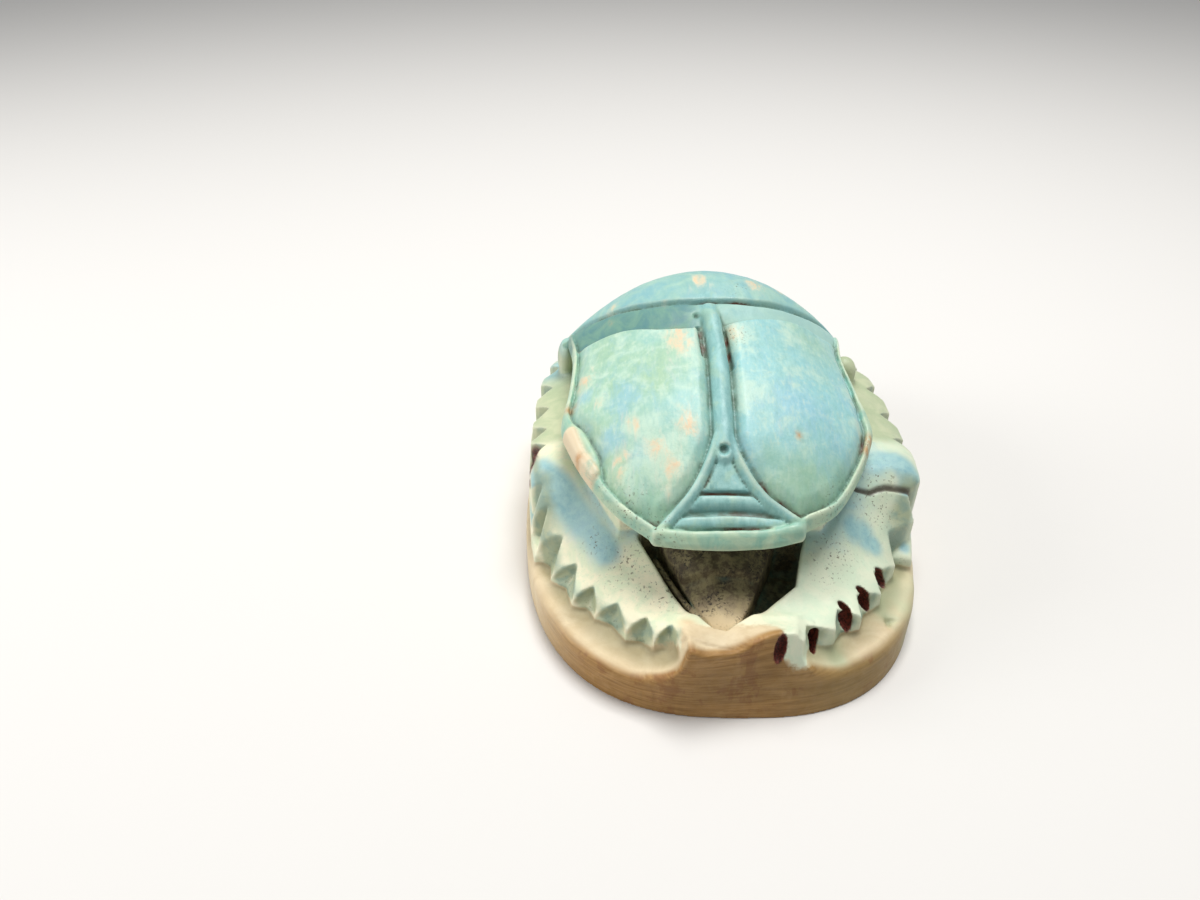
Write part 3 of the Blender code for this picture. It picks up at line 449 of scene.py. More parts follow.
class Plan:
    """Distances and heights at a set of places on the plan."""

    def __init__(self, x, y):
        self.x, self.y = x, y
        base, _ = oval(BASE_HALF_WIDTH, BASE_HALF_LENGTH, BASE_SQUARENESS, 360)
        self.in_base = depth_inside(base, x, y)
        self.in_legs = depth_inside(legs_outline(count=480), x, y)
        self.in_teeth = depth_inside(legs_outline(notched=True), x, y)
        self.in_rim = depth_inside(rim_outline(), x, y)
        self.in_hollow = depth_inside(HOLLOW_OUTLINE, x, y)
        self.bar = distance_to(spline(TAIL_BAR, 6), x, y)
        self.in_rim = common(self.in_rim, TAIL_BAR_HALF_WIDTH - self.bar, 0.3)
        self.swelling = distance_to(spline(RIM_SWELLING, 6), x, y)
        self.pronotum = along(PRONOTUM_EDGE, x)
        self.wing_front = along(WING_FRONT, x)
        self.ridge = distance_to(spline(RIDGE_LINE, 8), x, y)
        left, right = spline(LEFT_STRIP, 6), spline(RIGHT_STRIP, 6)
        self.strips = np.minimum(distance_to(left, x, y), distance_to(right, x, y))
        corners = np.vstack([left, [(LEFT_STRIP[-1][0], -24), (RIGHT_STRIP[-1][0], -24)], right[::-1]])
        self.in_triangle = depth_inside(corners, x, y)
        side = step(-2, 2, x - BACK_CENTRE)
        self.rim_width = along(LEFT_RIM_WIDTH, y) * (1 - side) + along(RIGHT_RIM_WIDTH, y) * side
        wing = np.minimum(self.in_rim - self.rim_width, self.wing_front - y)
        wing = np.minimum(wing, self.ridge - RIDGE_HALF_WIDTH)
        wing = np.minimum(wing, self.strips - STRIP_HALF_WIDTH)
        self.in_wing = np.minimum(wing, -self.in_triangle)

    def uneven(self, wavelength, seed, waves=9):
        """Soft random unevenness between about -1 and 1."""
        draw = np.random.RandomState(seed)
        total = np.zeros(np.shape(self.x))
        for _ in range(waves):
            angle, phase = draw.uniform(0, math.tau, 2)
            rate = math.tau / (wavelength * draw.uniform(0.7, 1.5))
            total += np.sin((self.x * math.cos(angle) + self.y * math.sin(angle)) * rate + phase)
        return total / math.sqrt(waves * 2)

    def ledge(self):
        away = np.maximum(-self.in_legs, 0)
        tail = step(10, 5.6, np.abs(self.x)) * step(-21, -26, self.y)
        fillet = np.clip(1 - away / LEDGE_FILLET, 0, 1) ** 2
        return LEDGE_HEIGHT + LEDGE_RISE * fillet + LEDGE_RISE_AT_TAIL * tail

    def lean(self):
        """How far in the wall of the base leans for each millimetre of its height."""
        return along(TAIL_LEAN, self.x) * step(-18, -24, self.y)

    def legs(self):
        depth = np.maximum(self.in_legs, 0)
        outer, inner = along(LEG_OUTER_HEIGHT, self.y), along(LEG_INNER_HEIGHT, self.y)
        slope = outer + (inner - outer) * step(0, LEG_SLOPE_WIDTH, depth)
        for knee_x, knee_y in KNEES:
            across, back = (self.x - knee_x) / KNEE_SPREAD[0], (self.y - knee_y) / KNEE_SPREAD[1]
            slope = slope + KNEE_RISE * np.exp(-(across**2) - back**2)
        slope += 0.1 * self.uneven(5, 3)
        sharp = np.maximum(step(-2, 3, self.x), step(-7, -4, self.y))
        drop = EDGE_DROP + (SHARP_EDGE_DROP - EDGE_DROP) * sharp
        crack = np.clip(1 - distance_to(CRACK, self.x, self.y) / CRACK_HALF_WIDTH, 0, 1)
        return slope - drop * np.clip(1 - depth / EDGE_ROUNDING, 0, 1) ** 2 - CRACK_DEPTH * crack

    def dome(self):
        across = np.clip(np.abs(self.x - BACK_CENTRE) / along(BACK_HALF_WIDTH, self.y), 0, 1.15)
        rim, spine = along(RIM_HEIGHT, self.y), along(SPINE_HEIGHT, self.y)
        return rim + (spine - rim) * (1 - across**2.1)

    def back(self):
        """Pronotum, band, two wing cases, the ridge between them and the ribbed triangle."""
        y = self.y
        ground = self.dome() - GROUND_DEPTH
        past_front = y - self.wing_front
        past_edge = y - self.pronotum
        pillow = PILLOW_HEIGHT * step(-0.1, PILLOW_SLOPE, self.in_wing) ** 0.75
        band = 0.05 + 0.4 * step(0.2, 2.6, past_front)
        height = ground + np.where(past_front > 0, band, pillow)
        pronotum = ground + PRONOTUM_STEP * step(-0.35, 0.4, past_edge)
        height = np.where(past_edge > 0, pronotum, height)
        crease = np.exp(-((past_edge / CREASE_HALF_WIDTH) ** 2))
        height -= CREASE_DEPTH * crease * step(0, 0.5, self.in_rim)
        ribs = RIB_HEIGHT * np.clip(rib_wave(y), -1, 0.9)
        below_top = RIB_CREST + RIB_PITCH * 0.5 - y
        ribs = np.where(below_top > 0, ribs, 0.25)
        ribbed = step(0.35, 0.75, self.in_triangle)
        height += (ribs + 0.2) * ribbed * (y < -15)
        rim = np.where(y < self.pronotum - 0.4, np.abs(self.in_rim - self.rim_width / 2), self.rim_width)
        ridge_rise = RIDGE_HEIGHT - RIDGE_DROP_AT_FRONT * step(-3.5, -0.8, past_edge)
        for distance, half_width, rise in (
            (self.ridge, RIDGE_HALF_WIDTH, ridge_rise * step(-0.2, -0.6, past_edge)),
            (self.strips, STRIP_HALF_WIDTH, STRIP_HEIGHT),
            (rim, self.rim_width / 2, RIM_RISE),
            (self.bar, TAIL_BAR_HALF_WIDTH, RIM_RISE + 0.15),
            (self.swelling, RIM_SWELLING_HALF_WIDTH, RIM_RISE + 0.45),
        ):
            strip = ground + rise * np.clip(1 - np.abs(distance / half_width) ** 2.6, 0, 1) ** 0.8
            height = np.maximum(height, strip)
        recess = np.minimum(*(distance_to(path, self.x, y) for path in RECESSES))
        height -= RECESS_DEPTH * np.clip(1 - (recess / RECESS_HALF_WIDTH) ** 2, 0, 1)
        return height + 0.05 * self.uneven(6, 11) + 0.02 * self.uneven(1.6, 12)

    def back_underside(self):
        inside = np.maximum(self.in_rim, 0)
        return along(RIM_HEIGHT, self.y) - RIM_THICKNESS - UNDERCUT_SLOPE * np.maximum(inside - 0.9, 0)


# The form: a field over space that is less than nothing inside the stone


class Form:
    def __init__(self, cell):
        self.cell = cell
        margin = 3 * cell
        self.low = np.array([-BASE_HALF_WIDTH, -BASE_HALF_LENGTH, -cell / 2]) - margin
        high = np.array([BASE_HALF_WIDTH, BASE_HALF_LENGTH, HIGH[2]]) + margin
        x, y, z = (np.arange(a, b + cell, cell) for a, b in zip(self.low, high))
        self.x, self.y = np.meshgrid(x, y, indexing="ij")
        self.z = z.astype(np.float32)[None, None, :]
        self.plan = Plan(self.x, self.y)
        self.space = (self.tall(self.x), self.tall(self.y), self.z)
        self.wall = self.tall(-self.plan.in_base) + self.tall(self.plan.lean()) * self.z
        self.hollow = np.minimum(self.tall(self.plan.in_hollow), self.z - HOLLOW_FLOOR)
        self.field = self.carve()

    def tall(self, values):
        """Values over the plan, ready to meet the heights."""
        return np.asarray(values, np.float32)[:, :, None]

    def under(self, height, ease=0.85):
        """What lies under a surface. Where the surface is steep, its heights count for less."""
        rise_x, rise_y = np.gradient(height, self.cell)
        ease = ease / np.clip(np.sqrt(1 + rise_x**2 + rise_y**2), 1, 3.5)
        return (self.z - self.tall(height)) * self.tall(ease)

    def ellipsoid(self, centre, radii):
        reach = sum(((at - middle) / radius) ** 2 for at, middle, radius in zip(self.space, centre, radii))
        return (np.sqrt(reach) - 1) * min(radii)

    def carve(self):
        """The parts, joined one after another with their own fillets, and then the cuts."""
        field = joined(self.base(), self.legs(), 0.35)
        field = joined(field, self.heel(), 1.5)
        field = joined(field, self.feet(), 0.3)
        for centre, radii in SHOULDERS:
            field = joined(field, self.ellipsoid(centre, radii), 0.9)
        field = self.add_head(field)
        field = joined(field, self.core(), 0.5)
        field = joined(field, self.v_strip(), 0.15)
        field = joined(field, self.tongue(), 0.4)
        field = joined(field, self.back(), 0.25)
        return self.with_cuts(np.maximum(field, self.wall - 0.02))

    def base(self):
        top = self.plan.ledge() + 0.08 * self.plan.uneven(4, 5)
        return common(self.wall, self.under(top), 0.8)

    def legs(self):
        """The legs. Behind, their notches get shallower towards the ledge."""
        plan = self.plan
        low, top = plan.ledge() + 0.3, plan.legs() - 0.6
        climb = step(0, 1, (self.z - self.tall(low)) / self.tall(np.maximum(top - low, 0.6)))
        shallower = (1 - NOTCH_DEPTH_AT_LEDGE) * (1 - climb) * self.tall(step(-4, -9, self.y))
        sides = self.tall(-plan.in_legs) + self.tall(plan.in_legs - plan.in_teeth) * (1 - shallower)
        legs = common(sides, self.under(plan.legs()), 0.15)
        return common(legs, self.hollow, 0.3)

    def heel(self):
        """The bare block at the tail, between the hind legs."""
        legs_height = self.plan.legs() - 0.1
        climb = step(HEEL_FRONT - 0.3, HEEL_FRONT - 3.3, self.y)
        crest = legs_height + (along(HEEL_CREST, self.x) - legs_height) * climb
        narrowing = 1 - HEEL_TAPER * np.maximum(self.z - LEDGE_HEIGHT, 0)
        sides = self.tall(np.abs(self.x)) - HEEL_HALF_WIDTH * narrowing
        heel = common(self.wall, np.maximum(sides, self.tall(self.y - HEEL_FRONT)), 0.3)
        heel = common(heel, self.under(crest), 0.3)
        return common(heel, self.hollow, 0.3)

    def feet(self):
        """The slope that climbs from the ledge outside each knee."""
        end, front = FEET_ENDS
        feet = np.maximum(FEET_INSET - self.plan.in_base, np.maximum(end - self.y, self.y - front))
        feet = np.maximum(feet, FEET_INNER_SIDE * BASE_HALF_WIDTH - np.abs(self.x))
        return common(self.tall(feet), self.under(along(FEET_HEIGHT, self.y)), 0.5)

    def core(self):
        """The body under the back."""
        middle = np.array([BACK_CENTRE, 0])
        outline = middle + (rim_outline() - middle) * CORE_SCALE
        core = np.minimum(depth_inside(outline, self.x, self.y), self.y - CORE_BACK_END)
        return np.maximum(self.tall(-core), self.under(along(RIM_HEIGHT, self.y)))

    def v_strip(self):
        """The thin strip along the hollow, below its rim."""
        strip = np.abs(self.plan.in_hollow - V_STRIP_INSET) - V_STRIP_HALF_WIDTH
        strip = np.maximum(strip, np.maximum(self.y - V_STRIP_FRONT, self.x - V_STRIP_RIGHT_END))
        drop = V_STRIP_DROP + V_STRIP_MORE_DROP * step(-2, 1, self.x)
        return common(self.tall(strip), self.under(along(HOLLOW_RIM_HEIGHT, self.y) - drop), 0.2)

    def tongue(self):
        """The rough tongue of stone that climbs inside the hollow."""
        end, front = TONGUE_ENDS
        away = np.abs(self.x - TONGUE_MIDDLE) - along(TONGUE_HALF_WIDTH, self.y)
        away = np.maximum(away, np.maximum(end - self.y, self.y - front))
        top = along(TONGUE_HEIGHT, self.y) - TONGUE_CROWN * (self.x - BACK_CENTRE) ** 2
        top += 0.15 * self.plan.uneven(2.2, 21)
        return np.maximum(self.tall(away), self.under(top))

    def back(self):
        """The back: its carved top, and what is cut away under its rim."""
        top = common(self.tall(-self.plan.in_rim), self.under(self.plan.back(), 1), 0.4)
        underside = (self.tall(self.plan.back_underside()) - self.z) * 0.8
        return common(top, underside, 0.5)

    def with_cuts(self, field):
        """The field with its dents, slots and pit, cut off level at the bottom."""
        for centre, radii in DENTS:
            field = common(field, -self.ellipsoid(centre, radii), 0.3)
        for top, bottom in SLOTS:
            reach = in_slot(*self.space, top, bottom)
            field = common(field, (1 - reach) * SLOT_HALF_WIDTH, 0.1)
        rough = 0.25 * self.tall(self.plan.uneven(1.1, 31)) * np.sin(self.z * 4)
        field = common(field, -self.ellipsoid(*PIT) - rough, 0.15)
        return np.maximum(field, -self.z)

    def add_head(self, field):
        """The head plate, in a channel between the forelegs, with its toothed edge and two eyes."""
        side = np.array(HEAD_OUTLINE)
        middle = [BACK_CENTRE / 2, 0]
        wall = np.vstack([side, (side[-1][0], BASE_HALF_LENGTH)]) + [HEAD_CHANNEL, 0]
        channel = depth_inside(np.vstack([wall, (wall * [-1, 1])[::-1]]) + middle, self.x, self.y)
        cut = np.minimum(self.tall(channel), self.z - HEAD_CHANNEL_FLOOR)
        field = common(field, cut, 0.3)
        edge_x = np.linspace(side[-1][0], -side[-1][0], 61)[1:-1]
        notch = np.zeros(len(edge_x))
        for tooth in HEAD_TEETH:
            away = np.abs(edge_x - tooth) / HEAD_TOOTH_HALF_WIDTH
            notch = np.maximum(notch, HEAD_TOOTH_DEPTH * np.clip(1 - away, 0, 1))
        bow = HEAD_FRONT_BOW * (1 - (edge_x / side[-1][0]) ** 2)
        front = np.stack([edge_x, HEAD_FRONT + bow - notch], 1)
        outline = np.vstack([side, front, (side * [-1, 1])[::-1]]) + middle
        height = along(HEAD_HEIGHT, self.y) - HEAD_CROWN * (self.x - middle[0]) ** 2
        plate = common(self.tall(-depth_inside(outline, self.x, self.y)), self.under(height), 0.4)
        field = joined(field, plate, 0.3)
        x, y, z = EYE_CENTRE
        for hand in (-1, 1):
            field = joined(field, self.ellipsoid((hand * x + middle[0], y, z), EYE_RADII), 0.4)
        return field

    def mesh(self):
        """The surface where the field is nothing, as a mesh."""
        grid = openvdb.FloatGrid(float(3 * self.cell))
        grid.copyFromArray(np.clip(self.field, -3 * self.cell, 3 * self.cell).astype(np.float32))
        grid.gridClass = openvdb.GridClass.LEVEL_SET
        points, triangles, quads = grid.convertToPolygons(isovalue=0.0, adaptivity=0.0)
        points = points * self.cell + self.low
        mesh = bpy.data.meshes.new("amulet")
        mesh.from_pydata(points * MM, [], [tuple(face[::-1]) for face in [*triangles, *quads]])
        mesh.validate()
        return mesh

    def openness(self, radius, points):
        """How much of the space round each point is air: over half on an edge, under half in a groove."""
        air = (self.field > 0).astype(np.float32)
        reach = max(int(round(radius / self.cell)), 1)
        for axis in range(3):
            border = [(reach + 1, reach) if k == axis else (0, 0) for k in range(3)]
            total = np.cumsum(np.pad(air, border, mode="edge"), axis=axis)
            count = air.shape[axis]
            ahead = np.take(total, np.arange(2 * reach + 1, 2 * reach + 1 + count), axis=axis)
            air = (ahead - np.take(total, np.arange(count), axis=axis)) / (2 * reach + 1)
        place = (points - self.low) / self.cell
        k = np.clip(place.astype(int), 0, np.array(air.shape) - 2)
        t = place - k
        value = np.zeros(len(points))
        for corner in np.ndindex(2, 2, 2):
            weight = np.prod(np.where(corner, t, 1 - t), axis=1)
            value += weight * air[tuple((k + corner).T)]
        return value


# Materials


def srgb(code):
    """A linear colour from a hex code."""
    parts = [int(code[k : k + 2], 16) / 255 for k in (0, 2, 4)]
    return [p / 12.92 if p < 0.04045 else ((p + 0.055) / 1.055) ** 2.4 for p in parts] + [1.0]


class Nodes:
    """Short calls for building a material's node tree."""

    def __init__(self, name):
        self.material = bpy.data.materials.new(name)
        self.material.use_nodes = True
        self.tree = self.material.node_tree
        self.shader = self.tree.nodes["Principled BSDF"]
        self.place = self.add("ShaderNodeTexCoord", {}, "Object")

    def add(self, kind, inputs, output=0, **settings):
        """Adds a node with its settings and inputs, and returns one of its outputs."""
        node = self.tree.nodes.new(kind)
        for key, value in settings.items():
            setattr(node, key, value)
        for name, value in inputs.items():
            self.put(node.inputs[name], value)
        return node.outputs[output]

    def put(self, socket, value):
        """Gives an input a number, another node's output, or a colour zone by its name."""
        if isinstance(value, str):
            value = self.add("ShaderNodeAttribute", {}, "Fac", attribute_name=value)
        if isinstance(value, bpy.types.NodeSocket):
            self.tree.links.new(value, socket)
        else:
            socket.default_value = value

    def noise(self, size, detail, rough, stretch=(1, 1, 1), distort=0.0):
        """Noise with lumps of about the size given, in millimetres."""
        factors = [s / MM for s in stretch]
        place = self.add("ShaderNodeVectorMath", {0: self.place, 1: factors}, operation="MULTIPLY")
        lumps = {"Scale": 1 / size, "Detail": detail, "Roughness": rough, "Distortion": distort}
        return self.add("ShaderNodeTexNoise", {"Vector": place} | lumps, "Fac")

    def ramp(self, value, low, high):
        inputs = {"Value": value, "From Min": low, "From Max": high}
        return self.add("ShaderNodeMapRange", inputs, "Result", interpolation_type="SMOOTHSTEP")

    def math(self, operation, a, b):
        return self.add("ShaderNodeMath", {0: a, 1: b}, operation=operation)

    def plus(self, a, b):
        return self.math("ADD", a, b)

    def scale(self, value, factor):
        return self.math("MULTIPLY", value, factor)

    def mix(self, a, b, amount, part=None, blend="MIX"):
        """Goes from one colour to another by an amount, or by part of it. A colour may be a hex code."""
        a, b = (srgb(colour) if isinstance(colour, str) else colour for colour in (a, b))
        if part is not None:
            amount = self.scale(amount, part)
        inputs = {"Factor": amount, "A": a, "B": b}
        return self.add("ShaderNodeMix", inputs, "Result", data_type="RGBA", blend_type=blend)

    def bump(self, height, depth, strength, under=None):
        inputs = {"Height": height, "Distance": depth * MM, "Strength": strength}
        if under is not None:
            inputs["Normal"] = under
        return self.add("ShaderNodeBump", inputs, "Normal")


class Glaze(Nodes):
    """The amulet's material, and the unevenness that its colours share, from broad to fine."""

    def __init__(self):
        super().__init__("turquoise_glaze")
        self.clouds = self.noise(7.5, 3, 0.5, distort=0.4)
        self.patches = self.noise(2.6, 5, 0.62, distort=0.6)
        self.streaks = self.noise(1.5, 5, 0.62, stretch=(1, 0.5, 0.7), distort=0.3)
        self.soft = self.noise(1.3, 5, 0.66, stretch=(1.3, 0.5, 0.6), distort=0.5)
        self.mottle = self.noise(0.9, 5, 0.68)
        self.weave = self.noise(0.5, 3, 0.6, stretch=(1.6, 0.5, 0.5))
        self.specks = self.noise(0.3, 3, 0.6)
        self.grain = self.noise(0.28, 4, 0.7)
        self.file_marks = self.noise(0.2, 3, 0.55, stretch=(0.06, 0.06, 1))


def back_colour(n):
    """Turquoise with green and blue in it, worn to cream and tan, with painted shade on the band's left
    half and painted light on its right half.
    """
    tone = n.plus("green", n.scale(n.plus(n.clouds, -0.5), 1.4))
    back = n.mix("99cccb", "a6c7a6", n.ramp(tone, 0.0, 1.0))
    blue = n.plus(n.scale("blue", 0.35), n.soft)
    back = n.mix(back, "93c3d3", n.ramp(blue, 0.45, 0.9), 0.65)
    pale = n.plus(n.scale("faded", 0.25), n.patches)
    back = n.mix(back, "c6e0cc", n.ramp(pale, 0.46, 0.72), 0.7)
    back = n.mix(back, "cfe1ca", n.ramp(n.mottle, 0.5, 0.74), 0.35)
    back = n.mix(back, "84b2a9", n.ramp(n.mottle, 0.5, 0.28), 0.3)
    back = n.mix(back, "cfe0c8", n.ramp(n.weave, 0.5, 0.75), 0.4)
    back = n.mix(back, "86b3aa", n.ramp(n.weave, 0.5, 0.3), 0.25)
    front = n.mix("7cafb4", "97c0b0", n.ramp(n.patches, 0.25, 0.72))
    back = n.mix(back, front, "front", 0.7)
    back = n.mix(back, "7dab93", "leaf", 0.6)
    strip = n.mix("79adab", "96c6c2", n.ramp(n.soft, 0.35, 0.65))
    strip = n.mix(strip, "a9c8aa", n.ramp(n.streaks, 0.48, 0.66), 0.5)
    back = n.mix(back, strip, "strip", 0.85)
    rim = n.mix("8dbba2", "bdd2ae", n.ramp(n.patches, 0.36, 0.6))
    back = n.mix(back, rim, "rim", 0.8)
    worn = n.scale("cream", 0.34)
    back = n.mix(back, "e0d8b8", n.ramp(n.plus(worn, n.soft), 0.6, 0.98), 0.8)
    flecks = n.plus(n.scale(n.soft, 0.6), n.scale(n.mottle, 0.4))
    back = n.mix(back, "e8c097", n.ramp(n.plus(worn, flecks), 0.74, 0.96), 0.75)
    back = n.mix(back, "e2cfad", "pale", n.ramp(n.patches, 0.2, 0.5))
    # Painted shade: the left half of the band, which faces away from the light, is darker teal.
    band = n.mix("47787a", "618e7c", n.ramp(n.patches, 0.36, 0.62))
    back = n.mix(back, band, "band", 0.75)
    # Painted light: the right half of the band is lighter, as if lit.
    return n.mix(back, "b4d6ca", "lit_band", 0.6)


def leg_colour(n):
    """Cream and mint, with sky blue near the body and dull green painted shade on the notches' steep walls.
    """
    legs = n.mix("dbe3c0", "f4eccb", n.ramp(n.patches, 0.36, 0.6))
    legs = n.mix(legs, "c9dabb", n.ramp(n.mottle, 0.48, 0.7), 0.35)
    legs = n.mix(legs, "cfe2cb", "mint", 0.55)
    legs = n.mix(legs, "ecc79c", "peach", 0.7)
    sky = n.mix("84b6bf", "a4cdcb", n.ramp(n.mottle, 0.3, 0.7))
    uneven = n.plus(n.scale(n.patches, 0.7), n.scale(n.mottle, 0.3))
    reach = n.ramp(n.plus("sky", uneven), 0.65, 1.4)
    legs = n.mix(legs, sky, reach, 0.92)
    # Painted shade: the notches' steep walls are dull green.
    notch = n.mix("86a08f", "a8b38f", n.ramp(n.patches, 0.4, 0.6))
    legs = n.mix(legs, notch, "notch", 0.85)
    side = n.mix("aebb94", "c4caa5", n.ramp(n.patches, 0.28, 0.72))
    side = n.mix(side, sky, "sky", 0.9)
    reach = n.ramp(n.plus("side", n.plus(n.patches, -0.5)), 0.2, 0.8)
    outside_notch = n.math("SUBTRACT", 0.9, n.scale("notch", 0.7))
    return n.mix(legs, side, reach, outside_notch)


def stone_colour(n):
    """Bare stone: cream, and tan where it is filed across the tail, the tan darkened further as painted
    shade on the wall.
    """
    cream = n.mix("e6d3af", "d4be97", n.ramp(n.patches, 0.25, 0.75))
    cream = n.mix(cream, "c9cda8", n.ramp(n.clouds, 0.45, 0.65), "mossy")
    # The filed wall's tan is its own colour, made darker as painted shade on the wall.
    tan = n.mix("8c6530", "b48a50", n.ramp(n.file_marks, 0.2, 0.8))
    tan = n.mix(tan, "c8a26c", n.ramp(n.patches, 0.5, 0.7), 0.3)
    tan = n.mix(tan, "8c7c4e", "mossy", 0.5)
    stain = n.plus(n.streaks, n.scale("stain", 0.12))
    tan = n.mix(tan, "7f4a26", n.ramp(stain, 0.57, 0.68), 0.4)
    return n.mix(cream, tan, "filed")


def hollow_colour(n):
    inside = n.mix("4a3d26", "7d7250", n.ramp(n.mottle, 0.38, 0.62))
    inside = n.mix(inside, "d9c39a", "tip")
    return n.mix(inside, "1b140c", n.ramp(n.grain, 0.5, 0.6), n.ramp(n.patches, 0.42, 0.6))


def with_wear_and_painted_light(n, colour):
    """The colour with painted shade on the ribs, pale edges that are partly painted highlight, painted
    shade in enclosed places, specks, dirt and painted shade in the grooves, and dark cuts.
    """
    # Painted shade: the lower face of each rib is darker, as if turned away from the light.
    colour = n.mix(colour, "4c8480", "rib_shade", 0.65)
    # Pale edges: partly worn glaze, partly painted highlight where edges and rib crests catch the light.
    colour = n.mix(colour, "e6e8cc", "edge", 0.45)
    colour = n.mix(colour, "c48a4a", "ochre", n.ramp(n.mottle, 0.3, 0.5))
    # Painted shade: darker where the space round a point is enclosed, in corners and under overhangs.
    shaded = n.mix(colour, "8a9478", 1.0, blend="MULTIPLY")
    colour = n.mix(colour, shaded, "shade", 0.6)
    colour = n.mix(colour, "54452f", n.ramp(n.specks, 0.58, 0.68), "speckle")
    streaky = n.scale(n.ramp(n.streaks, 0.36, 0.6), 0.7)
    colour = n.mix(colour, "9a6d42", "lip", streaky)
    # Grooves and the pronotum's crease: dark green painted shade, with brown dirt along the listed brown
    # lines.
    dirt_and_shade = n.ramp(n.plus(n.scale(n.mottle, 0.4), n.patches), 0.45, 0.95)
    dirt_and_shade = n.plus(n.scale("brown", 0.5), dirt_and_shade)
    dirt_and_shade = n.math("MINIMUM", n.scale("groove", dirt_and_shade), 1.0)
    colour = n.mix(colour, n.mix("56705f", "5a3320", "brown"), dirt_and_shade)
    colour = n.mix(colour, "3f2c1b", "crack", 0.85)
    return n.mix(colour, n.mix("3c1f14", "7d3a2c", n.ramp(n.grain, 0.4, 0.6)), "slot")


def amulet_material():
    n = Glaze()
    colour = n.mix(leg_colour(n), back_colour(n), "back")
    bare = n.plus("stone", n.scale(n.plus(n.mottle, -0.5), 0.7))
    colour = n.mix(colour, stone_colour(n), n.ramp(bare, 0.3, 0.7))
    colour = n.mix(colour, hollow_colour(n), "hollow")
    n.put(n.shader.inputs["Base Color"], with_wear_and_painted_light(n, colour))
    rough = n.plus(n.scale(n.ramp(n.mottle, 0.25, 0.75), 0.22), 0.36)
    rough = n.plus(rough, n.scale("stone", 0.16))
    rough = n.plus(rough, n.scale("hollow", 0.3))
    n.put(n.shader.inputs["Roughness"], rough)
    filed = n.bump(n.scale(n.file_marks, "filed"), 0.1, 0.6)
    mottled = n.bump(n.mottle, 0.1, 0.4, filed)
    n.put(n.shader.inputs["Normal"], n.bump(n.grain, 0.04, 0.45, mottled))
    return n.material


# Colour zones: how far each point of the surface belongs to each


def vectors(items, name):
    values = np.empty(len(items) * 3, np.float32)
    items.foreach_get(name, values)
    return values.reshape(-1, 3).astype(float)


def blurred(mesh, values, rounds):
    """Values on the points, each shared with the points joined to it."""
    ends = np.empty(len(mesh.edges) * 2, np.int32)
    mesh.edges.foreach_get("vertices", ends)
    one, other = ends[0::2], ends[1::2]
    count = np.bincount(ends, minlength=len(values))
    for _ in range(rounds):
        total = np.bincount(one, values[other], len(values)) + np.bincount(other, values[one], len(values))
        values = 0.4 * values + 0.6 * total / np.maximum(count, 1)
    return values


def near(at, spots, long=1):
    """How much each point belongs to a few spots, each a place on the plan and a radius across."""
    value = np.zeros(len(at.x))
    for spot_x, spot_y, radius in spots:
        away = (at.x - spot_x) ** 2 + ((at.y - spot_y) / long) ** 2
        value = np.maximum(value, np.exp(-away / radius**2))
    return value


class Surface:
    """The mesh's points, how open the space round each is, and the main parts that they lie on."""

    def __init__(self, mesh, form):
        self.points = vectors(mesh.vertices, "co") / MM
        self.upward = vectors(mesh.vertices, "normal")[:, 2]
        self.x, self.y, self.z = x, y, z = self.points.T
        self.plan = plan = Plan(x, y)
        self.tight = blurred(mesh, form.openness(TIGHT_OPENNESS, self.points), 2)
        self.wide = form.openness(WIDE_OPENNESS, self.points)

        self.back = step(-0.35, 0.15, z - plan.back_underside()) * (plan.in_rim > -0.6)
        under_back = (1 - self.back) * step(-0.5, 0.3, plan.in_hollow)
        below_rim = step(0.4, -0.3, z - along(HOLLOW_RIM_HEIGHT, y) + 0.25)
        inside = np.maximum(below_rim, step(0.1, 0.4, plan.in_hollow))
        self.hollow = under_back * inside * (z > HOLLOW_FLOOR - 0.4)

        left_end = 5.4 + 3.0 * step(6.6, 5.2, z)
        right_end = 3.6 + 3.4 * step(6.4, 4.2, z)
        past_end = np.abs(x) - np.where(x < 0, left_end, right_end)
        self.heel = step(-24.6, -27.0, y) * step(0.6, -0.6, past_end)
        on_ledge = 1 - step(0.1, 0.7, z - plan.ledge())
        self.stone = np.maximum(on_ledge, self.heel) * (1 - self.back)


